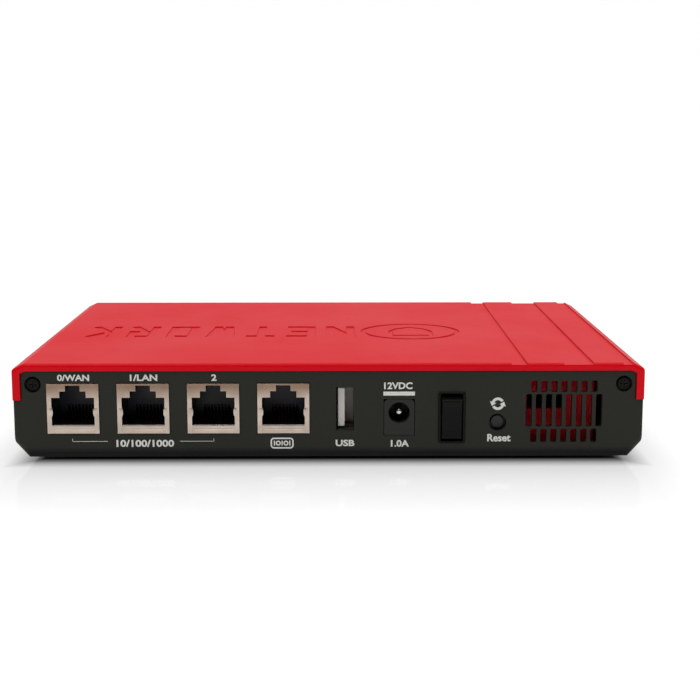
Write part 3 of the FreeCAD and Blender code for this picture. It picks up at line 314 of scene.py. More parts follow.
@dataclass(frozen=True)
class ScreenInk(Finish):
    """Screen-printed ink: a flat film with thin spots where the mesh let less through.

    Attributes:
        thin: Noise values where the ink starts to thin and is at its thinnest.
    """

    thin: Span = (0.62, 0.8)

    def tint(self, tree: Tree, place: Socket, drift: Socket) -> Socket:
        """Give the ink's colour, with its second colour in the thin spots.

        Args:
            tree: The material's node tree.
            place: Coordinates in metres.
            drift: Slow noise, which ink has no use for.

        Returns:
            The colour.
        """
        mesh = {"Vector": place, "Scale": 1 / (self.grain_mm * MM), "Detail": 1.0}
        spots = add_node(tree, "ShaderNodeTexNoise", None, mesh).outputs["Fac"]
        ends = {"Value": spots, "From Min": self.thin[0], "From Max": self.thin[1]}
        thinned = add_node(tree, "ShaderNodeMapRange", None, ends).outputs["Result"]
        sockets = {0: thinned, 6: linear(self.colour), 7: linear(self.shade)}
        return add_node(tree, "ShaderNodeMix", COLOURS, sockets).outputs[2]


@dataclass(frozen=True)
class SolderMask(Finish):
    """Glass-epoxy board under green lacquer, with copper tracks showing as paler lines.

    Attributes:
        track_mm: Size of the pattern that the tracks make.
    """

    track_mm: float = 4.0

    def tint(self, tree: Tree, place: Socket, drift: Socket) -> Socket:
        """Draw straight tracks that turn at right angles between solid fills.

        Args:
            tree: The material's node tree.
            place: Coordinates in metres.
            drift: Slow noise, which the tracks have no use for.

        Returns:
            The colour.
        """
        brick = {
            "Vector": place,
            "Color1": linear(self.colour),
            "Color2": linear(self.shade),
            "Mortar": linear(self.rubbed),
            "Scale": 1 / (self.track_mm * MM),
            "Mortar Size": 0.05,
            "Brick Width": 2.2,
            "Row Height": 0.18,
        }
        return add_node(tree, "ShaderNodeTexBrick", {"offset": 0.37}, brick).outputs["Color"]

    def adjust(self, shader: bpy.types.Node) -> None:
        """Give the lacquer its clear skin."""
        shader.inputs["Coat Weight"].default_value = 0.5
        shader.inputs["Coat Roughness"].default_value = 0.15


@dataclass(frozen=True)
class ClearPlastic(Finish):
    """Optical polycarbonate: light goes through it, so a dark space behind shows dark.

    Attributes:
        clear: Share of the light that goes through.
    """

    clear: float = 0.8

    def adjust(self, shader: bpy.types.Node) -> None:
        """Let most of the light through."""
        shader.inputs["Transmission Weight"].default_value = self.clear


class Stock(Enum):
    """Every finish on the appliance."""

    # Glossy ABS: a polished mould leaves a clean, saturated red with soft highlights.
    RED_ABS = MouldedPlastic(
        "abs_moulded_red", "#e00218", "#d80014", "#ea0c18", 0.36, 0.04,
        ior=1.53, drift_mm=40.0, grain_mm=0.7, depth_mm=0.004, edge_mm=0.3, wear=0.3, gloss=0.1,
        glow=0.08,
    )
    # ABS from a spark-eroded mould: a dark warm grey that scatters the light. The real
    # grain of about 0.1 mm would not show, so it is drawn about five times as coarse. The
    # rounding along the bottom goes nearly black as painted shade, for the underside that
    # faces the floor.
    CHARCOAL_ABS = MouldedPlastic(
        "abs_textured_charcoal_painted_shade", "#272822", "#2c2d27", "#403f3a", 0.5, 0.06,
        ior=1.53, drift_mm=25.0, grain_mm=0.5, depth_mm=0.02, edge_mm=0.3, wear=0.35, gloss=0.15,
        painted_shade="#020202", painted_shade_span=(4.6, 2.8),
    )
    # Glass-filled PBT of sockets: near black, with a dull bluish sheen.
    BLACK_PBT = MouldedPlastic(
        "pbt_moulded_black", "#0b0e1a", "#0e1220", "#23283a", 0.36, 0.06,
        ior=1.55, drift_mm=6.0, grain_mm=0.35, depth_mm=0.008, edge_mm=0.15, gloss=0.25,
    )
    # Nylon of switch and jack bodies: a plain satin black.
    BLACK_NYLON = MouldedPlastic(
        "nylon_moulded_black", "#0d0e0c", "#121310", "#33342f", 0.32, 0.06,
        ior=1.53, drift_mm=6.0, grain_mm=0.4, depth_mm=0.01, edge_mm=0.2, wear=0.5, gloss=0.08,
    )
    # The DC jack's nylon holds less pigment and reads as the same grey as the panel.
    GREY_NYLON = MouldedPlastic(
        "nylon_moulded_grey", "#2a2b27", "#2f302b", "#4a4b46", 0.4, 0.06,
        ior=1.53, drift_mm=6.0, grain_mm=0.4, depth_mm=0.01, edge_mm=0.2, wear=0.4, gloss=0.15,
    )
    BUTTON_ABS = MouldedPlastic(
        "abs_moulded_graphite", "#20211d", "#282925", "#4a4b45", 0.36, 0.05,
        ior=1.53, drift_mm=3.0, grain_mm=0.3, depth_mm=0.01, edge_mm=0.2, wear=0.5, gloss=0.3,
    )
    # Natural PBT of the USB tongue: a slightly warm, waxy white.
    WHITE_PBT = MouldedPlastic(
        "pbt_moulded_white", "#f4efe9", "#ece6df", "#f8f5f1", 0.4, 0.05,
        ior=1.55, drift_mm=5.0, grain_mm=0.3, depth_mm=0.006, edge_mm=0.15, glow=0.1,
    )
    # Nickel-plated phosphor bronze: a warm silver, brushed flat by the rolls. Towards the top
    # of the cans it turns darker and browner, painted shade for the darker surroundings that
    # the metal mirrors there.
    NICKEL = RolledSheet(
        "nickel_plated_bronze_painted_shade", "#d2c3b8", "#bfae9f", "#f2ebe4", 0.34, 0.08, 1.0,
        drift_mm=4.0, grain_mm=0.16, depth_mm=0.006, edge_mm=0.12, wear=0.6, along=(24.0, 1.0, 1.0),
        painted_shade="#927a68", painted_shade_span=(18.0, 22.0),
    )
    # Tin over steel: duller than nickel, and darkened to brown all over as painted shade for
    # the socket wall deep in its recess.
    TIN_STEEL_PAINTED_SHADE = RolledSheet(
        "tin_plated_steel_painted_shade", "#7a645c", "#6b554e", "#b9a9a2", 0.3, 0.08, 1.0,
        drift_mm=4.0, grain_mm=0.16, depth_mm=0.006, edge_mm=0.12, wear=0.6, along=(1.0, 24.0, 1.0),
    )
    NICKEL_PIN = RolledSheet(
        "nickel_plated_pin", "#d8d3cb", "#c2bcb2", "#f0ede8", 0.2, 0.05, 1.0,
        drift_mm=3.0, grain_mm=0.1, depth_mm=0.002, edge_mm=0.1, along=(1.0, 20.0, 1.0),
    )
    # Gold flash over nickel: a thin, bright yellow with the nickel dulling it in patches.
    GOLD = RolledSheet(
        "gold_flashed_contact", "#a8823f", "#8e6c38", "#d6b870", 0.3, 0.06, 1.0,
        drift_mm=3.0, grain_mm=0.1, depth_mm=0.002, edge_mm=0.06, along=(1.0, 20.0, 1.0),
    )
    # Black zinc on steel: dark with a faint metal gleam where a driver has turned.
    BLACK_ZINC = RolledSheet(
        "black_zinc_steel", "#1d1d1b", "#151514", "#6c6b67", 0.28, 0.08, 1.0,
        drift_mm=2.0, grain_mm=0.25, depth_mm=0.006, edge_mm=0.15, wear=0.6, along=(3.0, 1.0, 1.0),
    )
    BRIGHT_ZINC = RolledSheet(
        "bright_zinc_steel", "#b9bcbf", "#a4a7aa", "#d6d8da", 0.28, 0.06, 1.0,
        drift_mm=2.0, grain_mm=0.25, depth_mm=0.004, edge_mm=0.15, along=(3.0, 1.0, 1.0),
    )
    ALUMINIUM_CAN = RolledSheet(
        "aluminium_drawn", "#c9cbcd", "#b7babd", "#e2e3e5", 0.3, 0.06, 1.0,
        drift_mm=3.0, grain_mm=0.2, depth_mm=0.004, edge_mm=0.15, along=(1.0, 1.0, 24.0),
    )
    BLACK_ANODISED = RolledSheet(
        "aluminium_black_anodised", "#232427", "#1b1c1f", "#6a6c70", 0.4, 0.06, 1.0,
        drift_mm=8.0, grain_mm=0.3, depth_mm=0.006, edge_mm=0.15, wear=0.5, along=(1.0, 24.0, 1.0),
    )
    BRASS = RolledSheet(
        "brass_knurled", "#c79a4b", "#b58a40", "#e6c27c", 0.3, 0.06, 1.0,
        drift_mm=2.0, grain_mm=0.5, depth_mm=0.05, edge_mm=0.1, along=(1.0, 8.0, 1.0),
    )
    # Natural rubber compound: a dull black that dust greys a little.
    FOOT_RUBBER = Finish(
        "rubber_moulded_black", "#151515", "#262524", "#3a3938", 0.8, 0.08,
        ior=1.52, drift_mm=3.0, grain_mm=0.4, depth_mm=0.03, edge_mm=0.3,
    )
    PAD_SILICONE = Finish(
        "silicone_thermal_pad", "#8793a0", "#7a8692", "#98a3ae", 0.7, 0.05,
        ior=1.41, drift_mm=4.0, grain_mm=0.5, depth_mm=0.02,
    )
    FERRITE = Finish(
        "ferrite_pressed", "#3a3a3c", "#2e2e30", "#55555a", 0.6, 0.08,
        ior=1.9, drift_mm=2.0, grain_mm=0.3, depth_mm=0.03,
    )
    # Silica-filled epoxy of chip packages: flat black with a fine matt face.
    CHIP_EPOXY = MouldedPlastic(
        "epoxy_moulded_black", "#1a1a1b", "#202021", "#343436", 0.55, 0.05,
        ior=1.55, drift_mm=4.0, grain_mm=0.25, depth_mm=0.01, edge_mm=0.12,
    )
    BOARD = SolderMask(
        "solder_mask_green", "#0d4a26", "#0f5a2c", "#2a7d44", 0.35, 0.05,
        ior=1.55, grain_mm=0.5, depth_mm=0.01, edge_mm=0.1, wear=0.0,
    )
    # Smoked red polycarbonate light guide: a dark red dot with the lamp behind it off.
    LIGHT_GUIDE = ClearPlastic(
        "polycarbonate_light_guide", "#4a0a10", "#3a080c", "#7a1c22", 0.25, 0.05,
        ior=1.585, drift_mm=2.0, grain_mm=0.4, depth_mm=0.004, edge_mm=0.15, clear=0.35,
    )
    LED_LENS = ClearPlastic(
        "epoxy_led_lens", "#d8d2b0", "#c9c2a0", "#efe9cc", 0.2, 0.04,
        ior=1.55, drift_mm=1.0, grain_mm=0.2, depth_mm=0.002, clear=0.5,
    )
    # Two-part screen ink: a chalky white with thin spots at the mesh's pitch.
    WHITE_INK = ScreenInk(
        "screen_ink_white", "#e4e4df", "#b9b9b2", "#e4e4df", 0.6, 0.05,
        ior=1.5, drift_mm=4.0, grain_mm=0.35, depth_mm=0.004, edge_mm=0.02, wear=0.0,
    )


FINISH_OF_SLOT = {
    "red_abs": Stock.RED_ABS,
    "charcoal_abs": Stock.CHARCOAL_ABS,
    "black_nylon": Stock.BLACK_NYLON,
    "button_abs": Stock.BUTTON_ABS,
    "nickel_can": Stock.NICKEL,
    "gold_contact": Stock.GOLD,
    "nickel_pin": Stock.NICKEL_PIN,
    "white_pbt": Stock.WHITE_PBT,
    "black_screw": Stock.BLACK_ZINC,
    "steel_screw": Stock.BRIGHT_ZINC,
    "clear_pipe": Stock.LIGHT_GUIDE,
    "led_epoxy": Stock.LED_LENS,
    "circuit_board": Stock.BOARD,
    "chip_epoxy": Stock.CHIP_EPOXY,
    "crystal_can": Stock.BRIGHT_ZINC,
    "ferrite": Stock.FERRITE,
    "cell_steel": Stock.BRIGHT_ZINC,
    "can_aluminium": Stock.ALUMINIUM_CAN,
    "sink_aluminium": Stock.BLACK_ANODISED,
    "pad_silicone": Stock.PAD_SILICONE,
    "brass": Stock.BRASS,
    "foot_rubber": Stock.FOOT_RUBBER,
}

# Nodes that look different from the rest of their slot.
FINISH_OF_NODE = {
    "jack_insert_wan": Stock.BLACK_PBT,
    "jack_insert_lan_1": Stock.BLACK_PBT,
    "jack_insert_lan_2": Stock.BLACK_PBT,
    "jack_insert_console": Stock.BLACK_PBT,
    "dc_jack_body": Stock.GREY_NYLON,
    # The USB shell's darker colour is painted shade for its deep recess.
    "usb_shell": Stock.TIN_STEEL_PAINTED_SHADE,
}


# ------------------------------------------------------------------ mesh helpers
def limits(node: str) -> tuple[Vector, Vector]:
    """Give a CAD node's box in millimetres.

    Args:
        node: The CAD node's name.

    Returns:
        Its lowest and highest corners.
    """
    low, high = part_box(node)
    return Vector(low) / MM, Vector(high) / MM


def keep(
    name: str, mesh: bpy.types.Mesh, finish: Stock, body: str = ROOT
) -> bpy.types.Object:
    """Put a mesh in the scene as a piece of the appliance.

    Args:
        name: The piece's name.
        mesh: Its mesh, in metres in the row frame.
        finish: What it is made of.
        body: The CAD body it rides on.

    Returns:
        The new object.
    """
    piece = bpy.data.objects.new(name, mesh)
    bpy.context.scene.collection.objects.link(piece)
    mesh.materials.clear()
    mesh.materials.append(finish.value.build())
    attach(piece, body)
    log.info("%s: %d faces", name, len(mesh.polygons))
    return piece


def mesh_of(name: str, shape: Shape) -> bpy.types.Mesh:
    """Turn a bmesh in millimetres into a mesh in metres and free it.

    Args:
        name: The mesh's name.
        shape: The bmesh.

    Returns:
        The mesh.
    """
    bmesh.ops.recalc_face_normals(shape, faces=shape.faces)
    bmesh.ops.scale(shape, vec=(MM, MM, MM), verts=shape.verts)
    mesh = bpy.data.meshes.new(name)
    shape.to_mesh(mesh)
    shape.free()
    return mesh


class Side(Enum):
    """The two upright faces that carry print, by the sign of their outward Y."""

    FRONT = -1
    REAR = 1


@dataclass
class Print:
    """White screen print on one upright face, drawn in X and Z millimetres.

    Attributes:
        side: The face it is printed on.
        face_y: Where that face is along Y.
        lift: Clear space under the ink film, so the two never share a plane.
        film: Thickness of the ink.
        bold: How far a letter's outline is pushed out, as a share of the type's size.
        shape: The ink drawn so far.
    """

    side: Side
    face_y: float
    lift: float = 0.01
    film: float = 0.03
    bold: float = 0.0315
    shape: Shape = field(default_factory=bmesh.new)

    def polygon(self, outline: list[Point]) -> None:
        """Print a filled outline.

        Args:
            outline: Its corners (x, z) in order.
        """
        out = self.side.value
        ys = (self.face_y + out * self.lift, self.face_y + out * (self.lift + self.film))
        near, far = [[self.shape.verts.new((x, y, z)) for x, z in outline] for y in ys]
        self.shape.faces.new(near)
        self.shape.faces.new(far)
        for index in range(len(outline)):
            after = (index + 1) % len(outline)
            self.shape.faces.new((near[index], near[after], far[after], far[index]))

    def bar(self, x0: float, z0: float, x1: float, z1: float) -> None:
        """Print an upright rectangle between two corners."""
        self.polygon([(x0, z0), (x1, z0), (x1, z1), (x0, z1)])

    def arc(
        self,
        x: float,
        z: float,
        radius: float,
        width: float,
        start: float,
        turn: float = 180.0,
    ) -> None:
        """Print part of a ring, in short quads.

        Args:
            x: Centre along X.
            z: Centre along Z.
            radius: Middle radius of the ring.
            width: Width of the stroke.
            start: First angle in degrees, from the viewer's right, counter-clockwise.
            turn: Degrees that it runs on.
        """
        steps = max(int(turn / ARC_STEP), 2)
        hand = -self.side.value
        points = []
        for offset in (width / 2, -width / 2):
            row = []
            for index in range(steps + 1):
                angle = math.radians(start + turn * index / steps)
                reach = radius + offset
                row.append((x + hand * reach * math.cos(angle), z + reach * math.sin(angle)))
            points += row if offset > 0 else row[::-1]
        self.polygon(points)

    def text(self, words: str, x: float, z: float, width: float, height: float) -> None:
        """Print words, fitted to a given width and height.

        Args:
            words: What it says.
            x: Centre along X.
            z: Centre along Z.
            width: Width of the whole line.
            height: Height from the lowest to the highest point.
        """
        curve = bpy.data.curves.new("type", "FONT")
        curve.body = words
        curve.offset = self.bold
        curve.resolution_u = 3
        holder = bpy.data.objects.new("type", curve)
        bpy.context.scene.collection.objects.link(holder)
        graph = bpy.context.evaluated_depsgraph_get()
        flat = bpy.data.meshes.new_from_object(holder.evaluated_get(graph))
        bpy.data.objects.remove(holder)
        bpy.data.curves.remove(curve)
        xs = [v.co.x for v in flat.vertices]
        ys = [v.co.y for v in flat.vertices]
        hand = -self.side.value
        scale_x = width / (max(xs) - min(xs))
        scale_z = height / (max(ys) - min(ys))
        mid_x, mid_y = (max(xs) + min(xs)) / 2, (max(ys) + min(ys)) / 2
        out = self.side.value
        low = self.face_y + out * self.lift
        verts = []
        for v in flat.vertices:
            spot = (x + hand * (v.co.x - mid_x) * scale_x, low, z + (v.co.y - mid_y) * scale_z)
            verts.append(self.shape.verts.new(spot))
        faces = [self.shape.faces.new([verts[i] for i in p.vertices]) for p in flat.polygons]
        raised = bmesh.ops.extrude_face_region(self.shape, geom=faces)["geom"]
        moved = [item for item in raised if isinstance(item, bmesh.types.BMVert)]
        bmesh.ops.translate(self.shape, vec=(0, out * self.film, 0), verts=moved)
        bpy.data.meshes.remove(flat)

    def place(self, name: str) -> bpy.types.Object:
        """Put the print on the case as one piece."""
        return keep(name, mesh_of(name, self.shape), Stock.WHITE_INK)


# ------------------------------------------------------------------ sub-assemblies
@dataclass
class SocketPanelPrint:
    """Everything printed beside the sockets, switch and button on the rear panel.

    Attributes:
        cap: Height of the capital letters.
        tall: Height of the power ratings.
        line: Width of the thin bracket lines.
        above: From a jack's top up to the middle of its name.
        below: From a jack's underside down to the middle of the speed line.
        aside: How far the jacks' names sit to the viewer's right of their middles.
    """

    cap: float = 1.9
    tall: float = 2.0
    line: float = 0.13
    above: float = 1.75
    below: float = 2.95
    aside: float = 0.3

    def build(self) -> None:
        """Print each group at the piece it names."""
        face_y = limits("base_tray")[1].y
        sockets = (self.port_names, self.console_mark, self.usb_mark, self.power_marks)
        for draw in (*sockets, self.reset_marks):
            draw(Print(Side.REAR, face_y))

    def port_names(self, ink: Print) -> None:
        """Print port names over the three network jacks and their speeds beneath.

        Args:
            ink: The print it belongs to.
        """
        middles = []
        for node, words, width in (
            ("jack_shield_wan", "0/WAN", 9.1),
            ("jack_shield_lan_1", "1/LAN", 7.8),
            ("jack_shield_lan_2", "2", 1.5),
        ):
            low, high = limits(node)
            middles.append((low.x + high.x) / 2)
            ink.text(words, middles[-1] - self.aside, high.z + self.above, width, self.cap)
        level = limits("jack_shield_wan")[0].z - self.below
        width, height, shift = 16.5, 2.1, 0.35
        ink.text("10/100/1000", middles[1] - shift, level, width, height)
        gap, rise, tick, overrun = 2.1, 0.6, 0.8, 0.4
        foot, half = level + rise, self.line / 2
        for outer, sign in ((middles[0] + overrun, 1), (middles[2], -1)):
            inner = middles[1] + sign * (width / 2 + gap)
            ink.bar(min(outer, inner), foot - half, max(outer, inner), foot + half)
            ink.bar(outer - half, foot, outer + half, foot + tick)
        ink.place("print_port_names")

    def console_mark(self, ink: Print) -> None:
        """Print the serial-port sign: a rounded frame round bars and rings.

        Args:
            ink: The print it belongs to.
        """
        low, high = limits("jack_shield_console")
        shift = 0.45
        x, z = (low.x + high.x) / 2 + shift, low.z - self.below
        half_x, half_z, radius, stroke = 3.1, 1.4, 0.8, 0.42
        flat, upright, half = half_x - radius, half_z - radius, stroke / 2
        for sign in (-1, 1):
            edge = z + sign * half_z
            ink.bar(x - flat, edge - half, x + flat, edge + half)
            edge = x + sign * half_x
            ink.bar(edge - half, z - upright, edge + half, z + upright)
        for quarter, (right, up) in enumerate(((1, 1), (-1, 1), (-1, -1), (1, -1))):
            start = 90 * quarter
            ink.arc(x - right * flat, z + up * upright, radius, stroke, start, 90)
        pitch, ring, ring_stroke = 1.1, 0.55, 0.36
        for offset in (-pitch, pitch):
            for start in (0, 180):
                ink.arc(x + offset, z, ring, ring_stroke, start)
        half_x, half_z = 0.17, 0.72
        for offset in (-2 * pitch, 0.0, 2 * pitch):
            ink.bar(x + offset - half_x, z - half_z, x + offset + half_x, z + half_z)
        ink.place("print_console_mark")

    def usb_mark(self, ink: Print) -> None:
        """Print the USB socket's plain name.

        Args:
            ink: The print it belongs to.
        """
        low, high = limits("usb_shell")
        level, width = limits("jack_shield_wan")[0].z - self.below, 5.4
        ink.text("USB", (low.x + high.x) / 2, level, width, self.cap)
        ink.place("print_usb_name")

    def power_marks(self, ink: Print) -> None:
        """Print the voltage, its thick rule and the current.

        Args:
            ink: The print it belongs to.
        """
        low, high = limits("dc_jack_body")
        x = (low.x + high.x) / 2
        rule_left, rule_right, rule_low, rule_high = 4.55, 4.45, 1.15, 2.3
        ink.bar(x - rule_right, high.z + rule_low, x + rule_left, high.z + rule_high)
        shift, rise, width = 0.3, 4.0, 8.1
        ink.text("12VDC", x + shift, high.z + rise, width, self.tall)
        shift, drop, width = 0.25, 2.45, 5.2
        ink.text("1.0A", x - shift, low.z - drop, width, self.tall)
        ink.place("print_power_rating")

    def reset_marks(self, ink: Print) -> None:
        """Print the two circling arrows and the button's name.

        Args:
            ink: The print it belongs to.
        """
        low, high = limits("reset_button")
        x, z = (low.x + high.x) / 2, (low.z + high.z) / 2
        rise, radius, stroke, head, turn = 5.4, 1.45, 0.78, 0.95, 130
        for start in (30, 210):
            ink.arc(x, z + rise, radius, stroke, start, turn)
            self.arrow_head(ink, x, z + rise, radius, start + turn, head)
        shift, drop, width, height = 0.45, 4.55, 6.7, 2.2
        ink.text("Reset", x - shift, z - drop, width, height)
        ink.place("print_reset_marks")

    def arrow_head(
        self, ink: Print, x: float, z: float, radius: float, angle: float, size: float
    ) -> None:
        """Print a triangle that ends an arc and points along it.

        Args:
            ink: The print it belongs to.
            x: The arc's centre along X.
            z: The arc's centre along Z.
            radius: The arc's middle radius.
            angle: Where the arc ends, in degrees.
            size: Half the width of the triangle's base.
        """
        hand = -ink.side.value
        turn = math.radians(angle)
        reach = (math.cos(turn), math.sin(turn))
        ahead = (-reach[1], reach[0])
        corners, length = [], size * 1.25
        for out, along in ((-size, 0.0), (size, 0.0), (0.0, length)):
            u = reach[0] * (radius + out) + ahead[0] * along
            v = reach[1] * (radius + out) + ahead[1] * along
            corners.append((x + hand * u, z + v))
        ink.polygon(corners)


@dataclass
class FrontPrint:
    """Indicator names and the plain shield-and-word mark on the front face.

    Attributes:
        cap: Height of the small letters.
        name_rise: From a window up to the name above it.
        name_drop: From a window down to the name below it.
        window: Radius of a window.
        rows: From the upper windows down to the lower ones.
        lift: Clear space under the ink film, a few microns as this face bounds the CAD box.
        film: Thickness of the ink, kept thin for the same reason.
        bold: How far a letter's outline is pushed out, as a share of the type's size.
    """

    cap: float = 1.7
    name_rise: float = 3.0
    name_drop: float = 3.5
    window: float = 1.05
    rows: float = 4.8
    lift: float = 0.004
    film: float = 0.01
    bold: float = 0.0105

    def build(self) -> None:
        """Print the indicator names and the mark."""
        face_y = limits("top_cover")[0].y
        for draw in (self.indicator_names, self.shield_mark):
            draw(Print(Side.FRONT, face_y, self.lift, self.film, self.bold))

    def indicator_names(self, ink: Print) -> None:
        """Print a name at each window or column of windows.

        Args:
            ink: The print it belongs to.
        """
        failover = limits("light_pipe_failover")[0].x + self.window
        ports_low, ports_high = limits("light_pipe_ports")
        status_low, status_high = limits("light_pipe_status")
        high = ports_high.z - self.window
        low = high - self.rows
        first, last = ports_low.x + self.window, ports_high.x - self.window
        left, right = status_low.x + self.window, status_high.x - self.window
        above, below = high + self.name_rise, low - self.name_drop
        for words, x, z, width in (
            ("Failover", failover - 0.3, above, 8.8),
            ("1000", first - 4.7, high, 5.6),
            ("10/100", first - 5.7, low, 7.7),
            ("2", first, below, 1.15),
            ("1", (first + last) / 2, below, 0.4),
            ("0", last, below, 1.15),
            ("Status", left, above, 7.3),
            ("Attn", right + 0.3, above, 5.2),
            ("Mode", left, below, 6.8),
        ):
            ink.text(words, x, z, width, self.cap)
        radius, stroke, sink, reach = 1.15, 0.36, 0.1, 1.5
        ink.arc(right, below - sink, radius, stroke, 120, 300)
        ink.bar(right - stroke / 2, below, right + stroke / 2, below + reach)
        ink.place("print_indicator_names")

    def shield_mark(self, ink: Print) -> None:
        """Print an outline shield with a keyhole, and a plain word beside it.

        Args:
            ink: The print it belongs to.
        """
        x, z, size, rim, rim_rise = -30.2, 17.4, 3.7, 0.85, 0.05
        outer = self.shield(x, z, size)
        inner = self.shield(x, z + rim_rise, size - rim)
        for index in range(len(outer)):
            after = (index + 1) % len(outer)
            ink.polygon([outer[index], outer[after], inner[after], inner[index]])
        eye, eye_rise, slot, foot = 0.8, 0.6, 0.6, z - 1.4
        turns = [math.radians(angle) for angle in range(-60, 241, 30)]
        keyhole = [(x + eye * math.cos(t), z + eye_rise + eye * math.sin(t)) for t in turns]
        ink.polygon(keyhole + [(x - slot, foot), (x + slot, foot)])
        word_x, width, height = -14.6, 22.4, 3.3
        ink.text("NETWORK", word_x, z, width, height)
        ink.place("print_front_mark")

    def shield(self, x: float, z: float, size: float) -> list[Point]:
        """Draw a plain shield.

        Args:
            x: Its middle along X.
            z: Its middle along Z.
            size: Half its height, nearly.

        Returns:
            Its outline, from the top left corner round.
        """
        corners = [(-0.8, 1.0), (-0.8, -0.1), (-0.62, -0.55), (-0.3, -0.85), (0.0, -1.05)]
        corners += [(-u, v) for u, v in reversed(corners[:-1])]
        return [(x + u * size, z + v * size) for u, v in corners]


@dataclass
class JackFace:
    """Folded details on the front of one modular jack's metal can.

    Attributes:
        node: The can's CAD node.
        opening: Half the width of the plug opening and of the strip under it.
        lip: Height of the folded strip under the opening.
        proud: How far folds stand out of the can's face.
        tab_height: Height of each sprung tab beside the opening.
        tab_reach: How far a tab stands into the opening.
    """

    node: str
    opening: float = 6.1
    lip: float = 2.45
    proud: float = 0.16
    tab_height: float = 2.6
    tab_reach: float = 0.36

    def build(self) -> None:
        """Make the strip with its fold line and the two sprung tabs."""
        low, high = limits(self.node)
        shape = bmesh.new()
        self.strip(shape, low, high)
        for sign in (-1, 1):
            self.tab(shape, low, high, sign)
        name = self.node + "_folds"
        keep(name, mesh_of(name, shape), Stock.NICKEL)

    def strip(self, shape: Shape, low: Vector, high: Vector) -> None:
        """Loft the strip along X with a rounded fold line across its middle.

        Args:
            shape: The bmesh that gets it.
            low: The can's lowest corner.
            high: The can's highest corner.
        """
        face = high.y
        edge, edge_proud, rounding = 0.06, self.proud * 0.7, 0.25
        fold, fold_top, fold_floor, floor = self.lip * 0.52, 0.28, 0.1, self.proud * 0.2
        profile = [
            (0.0, 0.0),
            (edge_proud, edge),
            (self.proud, rounding),
            (self.proud, fold - fold_top),
            (floor, fold - fold_floor),
            (floor, fold + fold_floor),
            (self.proud, fold + fold_top),
            (self.proud, self.lip - rounding),
            (edge_proud, self.lip - edge),
            (0.0, self.lip),
        ]
        middle, taper, end_share = (low.x + high.x) / 2, 0.3, 0.35
        flat = self.opening - taper
        rows = []
        for reach, share in (
            (-self.opening, end_share), (-flat, 1.0), (flat, 1.0), (self.opening, end_share)
        ):
            x = middle + reach
            rows.append([shape.verts.new((x, face + v * share, low.z + w)) for v, w in profile])
        close_loft(shape, rows)

    def tab(self, shape: Shape, low: Vector, high: Vector, sign: int) -> None:
        """Loft one tab that bulges out and into the opening.

        Args:
            shape: The bmesh that gets it.
            low: The can's lowest corner.
            high: The can's highest corner.
            sign: Which side of the opening it is on.
        """
        edge = (low.x + high.x) / 2 + sign * self.opening
        level_share = 0.43
        z = low.z + (high.z - low.z) * level_share
        root, root_proud, shoulder, lean = 0.9, 0.03, 0.25, 0.1
        clearance, drop, depth, steps = 0.02, 0.06, 0.5, 8
        rows = []
        for index in range(steps + 1):
            turn = math.pi * index / steps
            bulge = math.sin(turn)
            level = z - math.cos(turn) * self.tab_height / 2
            inner = edge - sign * self.tab_reach * bulge
            outer = edge + sign * root
            crest = high.y + clearance + self.proud * bulge
            points = [
                (outer, high.y),
                (outer, high.y + root_proud),
                (edge + sign * shoulder, crest),
                (inner, crest - drop),
                (inner, high.y - depth),
                (edge + sign * lean, high.y - depth),
            ]
            rows.append([shape.verts.new((x, y, level)) for x, y in points])
        close_loft(shape, rows)


def close_loft(shape: Shape, rows: list[list[bmesh.types.BMVert]]) -> None:
    """Join equal rings into one closed tube with capped ends.

    Args:
        shape: The bmesh that holds the rings.
        rows: The rings in order, each with its points in the same order.
    """
    count = len(rows[0])
    for before, after in zip(rows, rows[1:]):
        for index in range(count):
            following = (index + 1) % count
            corners = (before[index], before[following], after[following], after[index])
            shape.faces.new(corners)
    shape.faces.new(rows[0][::-1])
    shape.faces.new(rows[-1])


@dataclass
class CadSkin:
    """Finishes for the nodes that keep their CAD shape."""

    def build(self) -> None:
        """Give each CAD node the finish of its slot in the record."""
        slots = {entry["node"]: entry["material_slot"] for entry in frame["record"]["subparts"]}
        for node, thing in frame["nodes"].items():
            finish = FINISH_OF_NODE.get(node, FINISH_OF_SLOT[slots[node]])
            thing.data.materials.clear()
            thing.data.materials.append(finish.value.build())
            log.info("%s: %s", node, finish.value.name)


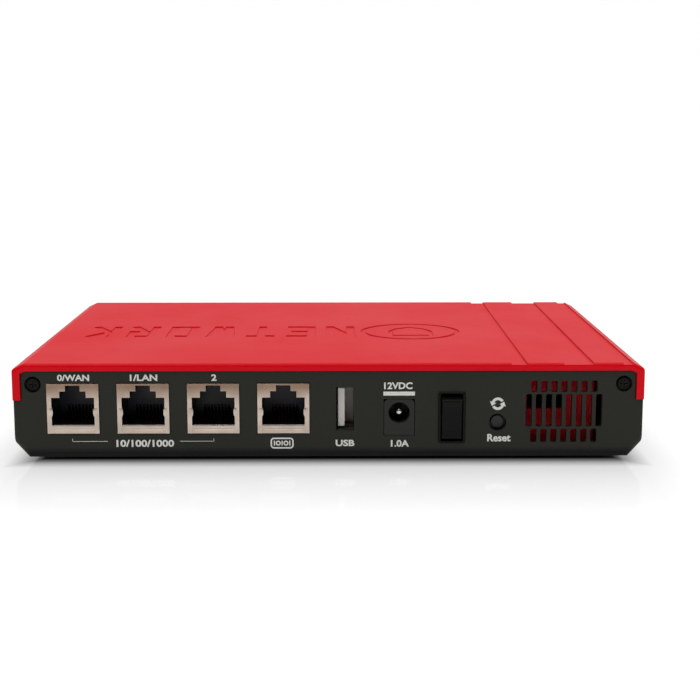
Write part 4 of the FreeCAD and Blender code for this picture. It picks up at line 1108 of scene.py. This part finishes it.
@dataclass
class Studio:
    """Pale floor, soft lamps and the camera.

    Attributes:
        lens: Focal length over a 36 mm sensor.
        eye: Where the camera stands, in metres.
        pitch: Degrees that it looks down.
        yaw: Degrees that it looks towards the vent.
        room: Strength of the even light from all round.
        overhead: Strength of the broad light from above.
        front_power: Watts of the softbox before the front face.
        rear_power: Watts of the softbox behind the socket panel.
        behind: Share of the even light that comes from behind the camera.
        floor_glow: Light that the floor gives by itself, except under the appliance, where leaving
            it out paints a shadow.
        floor_polish: Share of light that the floor mirrors next to the appliance.
        floor_gap: Clear space under the feet, so the two never share a plane.
    """

    lens: float = 73.24
    eye: tuple[float, float, float] = (-0.00245, 0.4607, 0.1012)
    pitch: float = 9.75
    yaw: float = 0.514
    room: float = 0.5
    behind: float = 0.25
    overhead: float = 2.3
    front_power: float = 6.5
    rear_power: float = 1.5
    floor_glow: float = 0.76
    floor_polish: float = 0.27
    floor_gap: float = 0.0002

    def build(self) -> None:
        """Set up the stage round the appliance."""
        self.floor()
        self.backdrop()
        self.sky()
        self.lamps()
        self.camera()

    def disc(self, name: str, radius: float, rings: int) -> bpy.types.Object:
        """Make a stage object: a dome of rings, or a flat disc when there is only one.

        Args:
            name: The object's name.
            radius: Its radius in metres.
            rings: Rows of faces from the rim to the middle.

        Returns:
            The object.
        """
        shape = bmesh.new()
        around = 64
        rows = []
        for ring in range(rings):
            rise = math.pi / 2 * ring / rings if rings > 1 else 0.0
            reach, height = radius * math.cos(rise), radius * math.sin(rise)
            row = []
            for index in range(around):
                angle = math.tau * index / around
                spot = (reach * math.cos(angle), reach * math.sin(angle), height)
                row.append(shape.verts.new(spot))
            rows.append(row)
        top = shape.verts.new((0, 0, radius if rings > 1 else 0.0))
        for before, after in zip(rows, rows[1:]):
            for index in range(around):
                following = (index + 1) % around
                corners = (before[index], before[following], after[following], after[index])
                shape.faces.new(corners)
        for index in range(around):
            shape.faces.new((rows[-1][index], rows[-1][(index + 1) % around], top))
        mesh = bpy.data.meshes.new(name)
        shape.to_mesh(mesh)
        shape.free()
        thing = bpy.data.objects.new(name, mesh)
        bpy.context.scene.collection.objects.link(thing)
        return thing

    def floor(self) -> None:
        """Lay a white floor, polished round the appliance, matt farther out, with a painted shadow
        under it.
        """
        floor = self.disc("floor", 6.0, 1)
        floor.location.z = -self.floor_gap
        material = bpy.data.materials.new("acrylic_white_polished")
        tree = bare_tree(material)
        matt = add_node(tree, "ShaderNodeBsdfDiffuse", None, {"Color": (0.3, 0.3, 0.3, 1.0)})
        # The glow is left out under the appliance, which paints a dark shadow on the floor there.
        unshadowed_x = self.ramp(tree, "X", (0.083, 0.093))
        unshadowed_y = self.ramp(tree, "Y", (0.057, 0.067))
        either = {0: unshadowed_x, 1: unshadowed_y}
        unshadowed = add_node(tree, "ShaderNodeMath", {"operation": "MAXIMUM"}, either).outputs[0]
        dimmed = {0: unshadowed, 1: self.floor_glow}
        strength = add_node(tree, "ShaderNodeMath", PRODUCT, dimmed).outputs[0]
        glow = add_node(tree, "ShaderNodeEmission", None, {"Strength": strength})
        lit = add_node(tree, "ShaderNodeAddShader", None, {0: matt.outputs[0], 1: glow.outputs[0]})
        polish = add_node(tree, "ShaderNodeBsdfGlossy", None, {"Roughness": 0.05})
        near_x = self.ramp(tree, "X", (0.105, 0.088))
        near_y = self.ramp(tree, "Y", (0.125, 0.064))
        near = add_node(tree, "ShaderNodeMath", PRODUCT, {0: near_x, 1: near_y}).outputs[0]
        share = {0: near, 1: self.floor_polish}
        amount = add_node(tree, "ShaderNodeMath", PRODUCT, share).outputs[0]
        layers = {0: amount, 1: lit.outputs[0], 2: polish.outputs[0]}
        mixed = add_node(tree, "ShaderNodeMixShader", None, layers)
        add_node(tree, "ShaderNodeOutputMaterial", None, {"Surface": mixed.outputs[0]})
        floor.data.materials.append(material)

    def ramp(self, tree: Tree, axis: str, span: Span) -> Socket:
        """Go from zero to one with the distance from the middle along one axis.

        Args:
            tree: The floor material's node tree.
            axis: The axis, X or Y.
            span: Where it is zero and where it is one, in metres.

        Returns:
            The value.
        """
        place = {0: add_node(tree, "ShaderNodeTexCoord").outputs["Object"]}
        away = add_node(tree, "ShaderNodeVectorMath", {"operation": "ABSOLUTE"}, place)
        along = add_node(tree, "ShaderNodeSeparateXYZ", None, {0: away.outputs[0]})
        ends = {"Value": along.outputs[axis], "From Min": span[0], "From Max": span[1]}
        return add_node(tree, "ShaderNodeMapRange", None, ends).outputs["Result"]

    def backdrop(self) -> None:
        """Stand a white backdrop behind the stage that casts no light of its own."""
        dome = self.disc("backdrop", 5.5, 12)
        dome.location.z = -0.1
        material = bpy.data.materials.new("backdrop_paper_white")
        tree = bare_tree(material)
        glow = add_node(tree, "ShaderNodeEmission", None, {"Strength": 1.0})
        add_node(tree, "ShaderNodeOutputMaterial", None, {"Surface": glow.outputs[0]})
        dome.data.materials.append(material)
        for ray in ("diffuse", "glossy", "transmission", "volume_scatter", "shadow"):
            setattr(dome, "visible_" + ray, False)

    def sky(self) -> None:
        """Surround the stage with weak light that comes mostly from before the front face."""
        world = bpy.data.worlds.new("room_light")
        tree = bare_tree(world)
        way = add_node(tree, "ShaderNodeTexCoord").outputs["Generated"]
        along = add_node(tree, "ShaderNodeSeparateXYZ", None, {0: way}).outputs["Y"]
        ends = {
            "Value": along,
            "From Min": -0.6,
            "From Max": 0.3,
            "To Min": self.room,
            "To Max": self.room * self.behind,
        }
        strength = add_node(tree, "ShaderNodeMapRange", None, ends).outputs["Result"]
        light = add_node(tree, "ShaderNodeBackground", None, {"Strength": strength}).outputs[0]
        add_node(tree, "ShaderNodeOutputWorld", None, {"Surface": light})
        bpy.context.scene.world = world

    def lamps(self) -> None:
        """Hang a very broad soft light overhead and stand a softbox at the front and the rear."""
        broad = bpy.data.lights.new("overhead_silk", "SUN")
        broad.energy = self.overhead
        broad.angle = math.radians(80)
        thing = bpy.data.objects.new("overhead_silk", broad)
        bpy.context.scene.collection.objects.link(thing)
        for name, place, size, power in (
            ("front_softbox", (-0.3, -1.3, 0.5), 0.9, self.front_power),
            ("rear_softbox", (0.5, 1.4, 0.8), 0.6, self.rear_power),
        ):
            lamp = bpy.data.lights.new(name, "AREA")
            lamp.size = size
            lamp.energy = power
            thing = bpy.data.objects.new(name, lamp)
            thing.location = place
            aim = Vector((0.0, 0.0, 0.01)) - Vector(place)
            thing.rotation_euler = aim.to_track_quat("-Z", "Y").to_euler()
            thing.visible_glossy = False
            bpy.context.scene.collection.objects.link(thing)

    def camera(self) -> None:
        """Stand the camera behind the socket panel, a little above it."""
        lens = bpy.data.cameras.new("camera")
        lens.lens = self.lens
        lens.sensor_width = 36.0
        lens.clip_start = 0.01
        thing = bpy.data.objects.new("camera", lens)
        thing.location = self.eye
        thing.rotation_euler = (
            math.radians(90 - self.pitch),
            0.0,
            math.radians(180 - self.yaw),
        )
        bpy.context.scene.collection.objects.link(thing)
        bpy.context.scene.camera = thing
        bpy.context.scene.view_settings.view_transform = "Standard"


def main() -> None:
    """Dress the CAD frame, add the printed and folded pieces, and set the stage."""
    logging.basicConfig(level=logging.INFO, format="%(message)s")
    CadSkin().build()
    for jack in ("wan", "lan_1", "lan_2", "console"):
        JackFace("jack_shield_" + jack).build()
    SocketPanelPrint().build()
    FrontPrint().build()
    Studio().build()


if __name__ == "__main__":
    main()
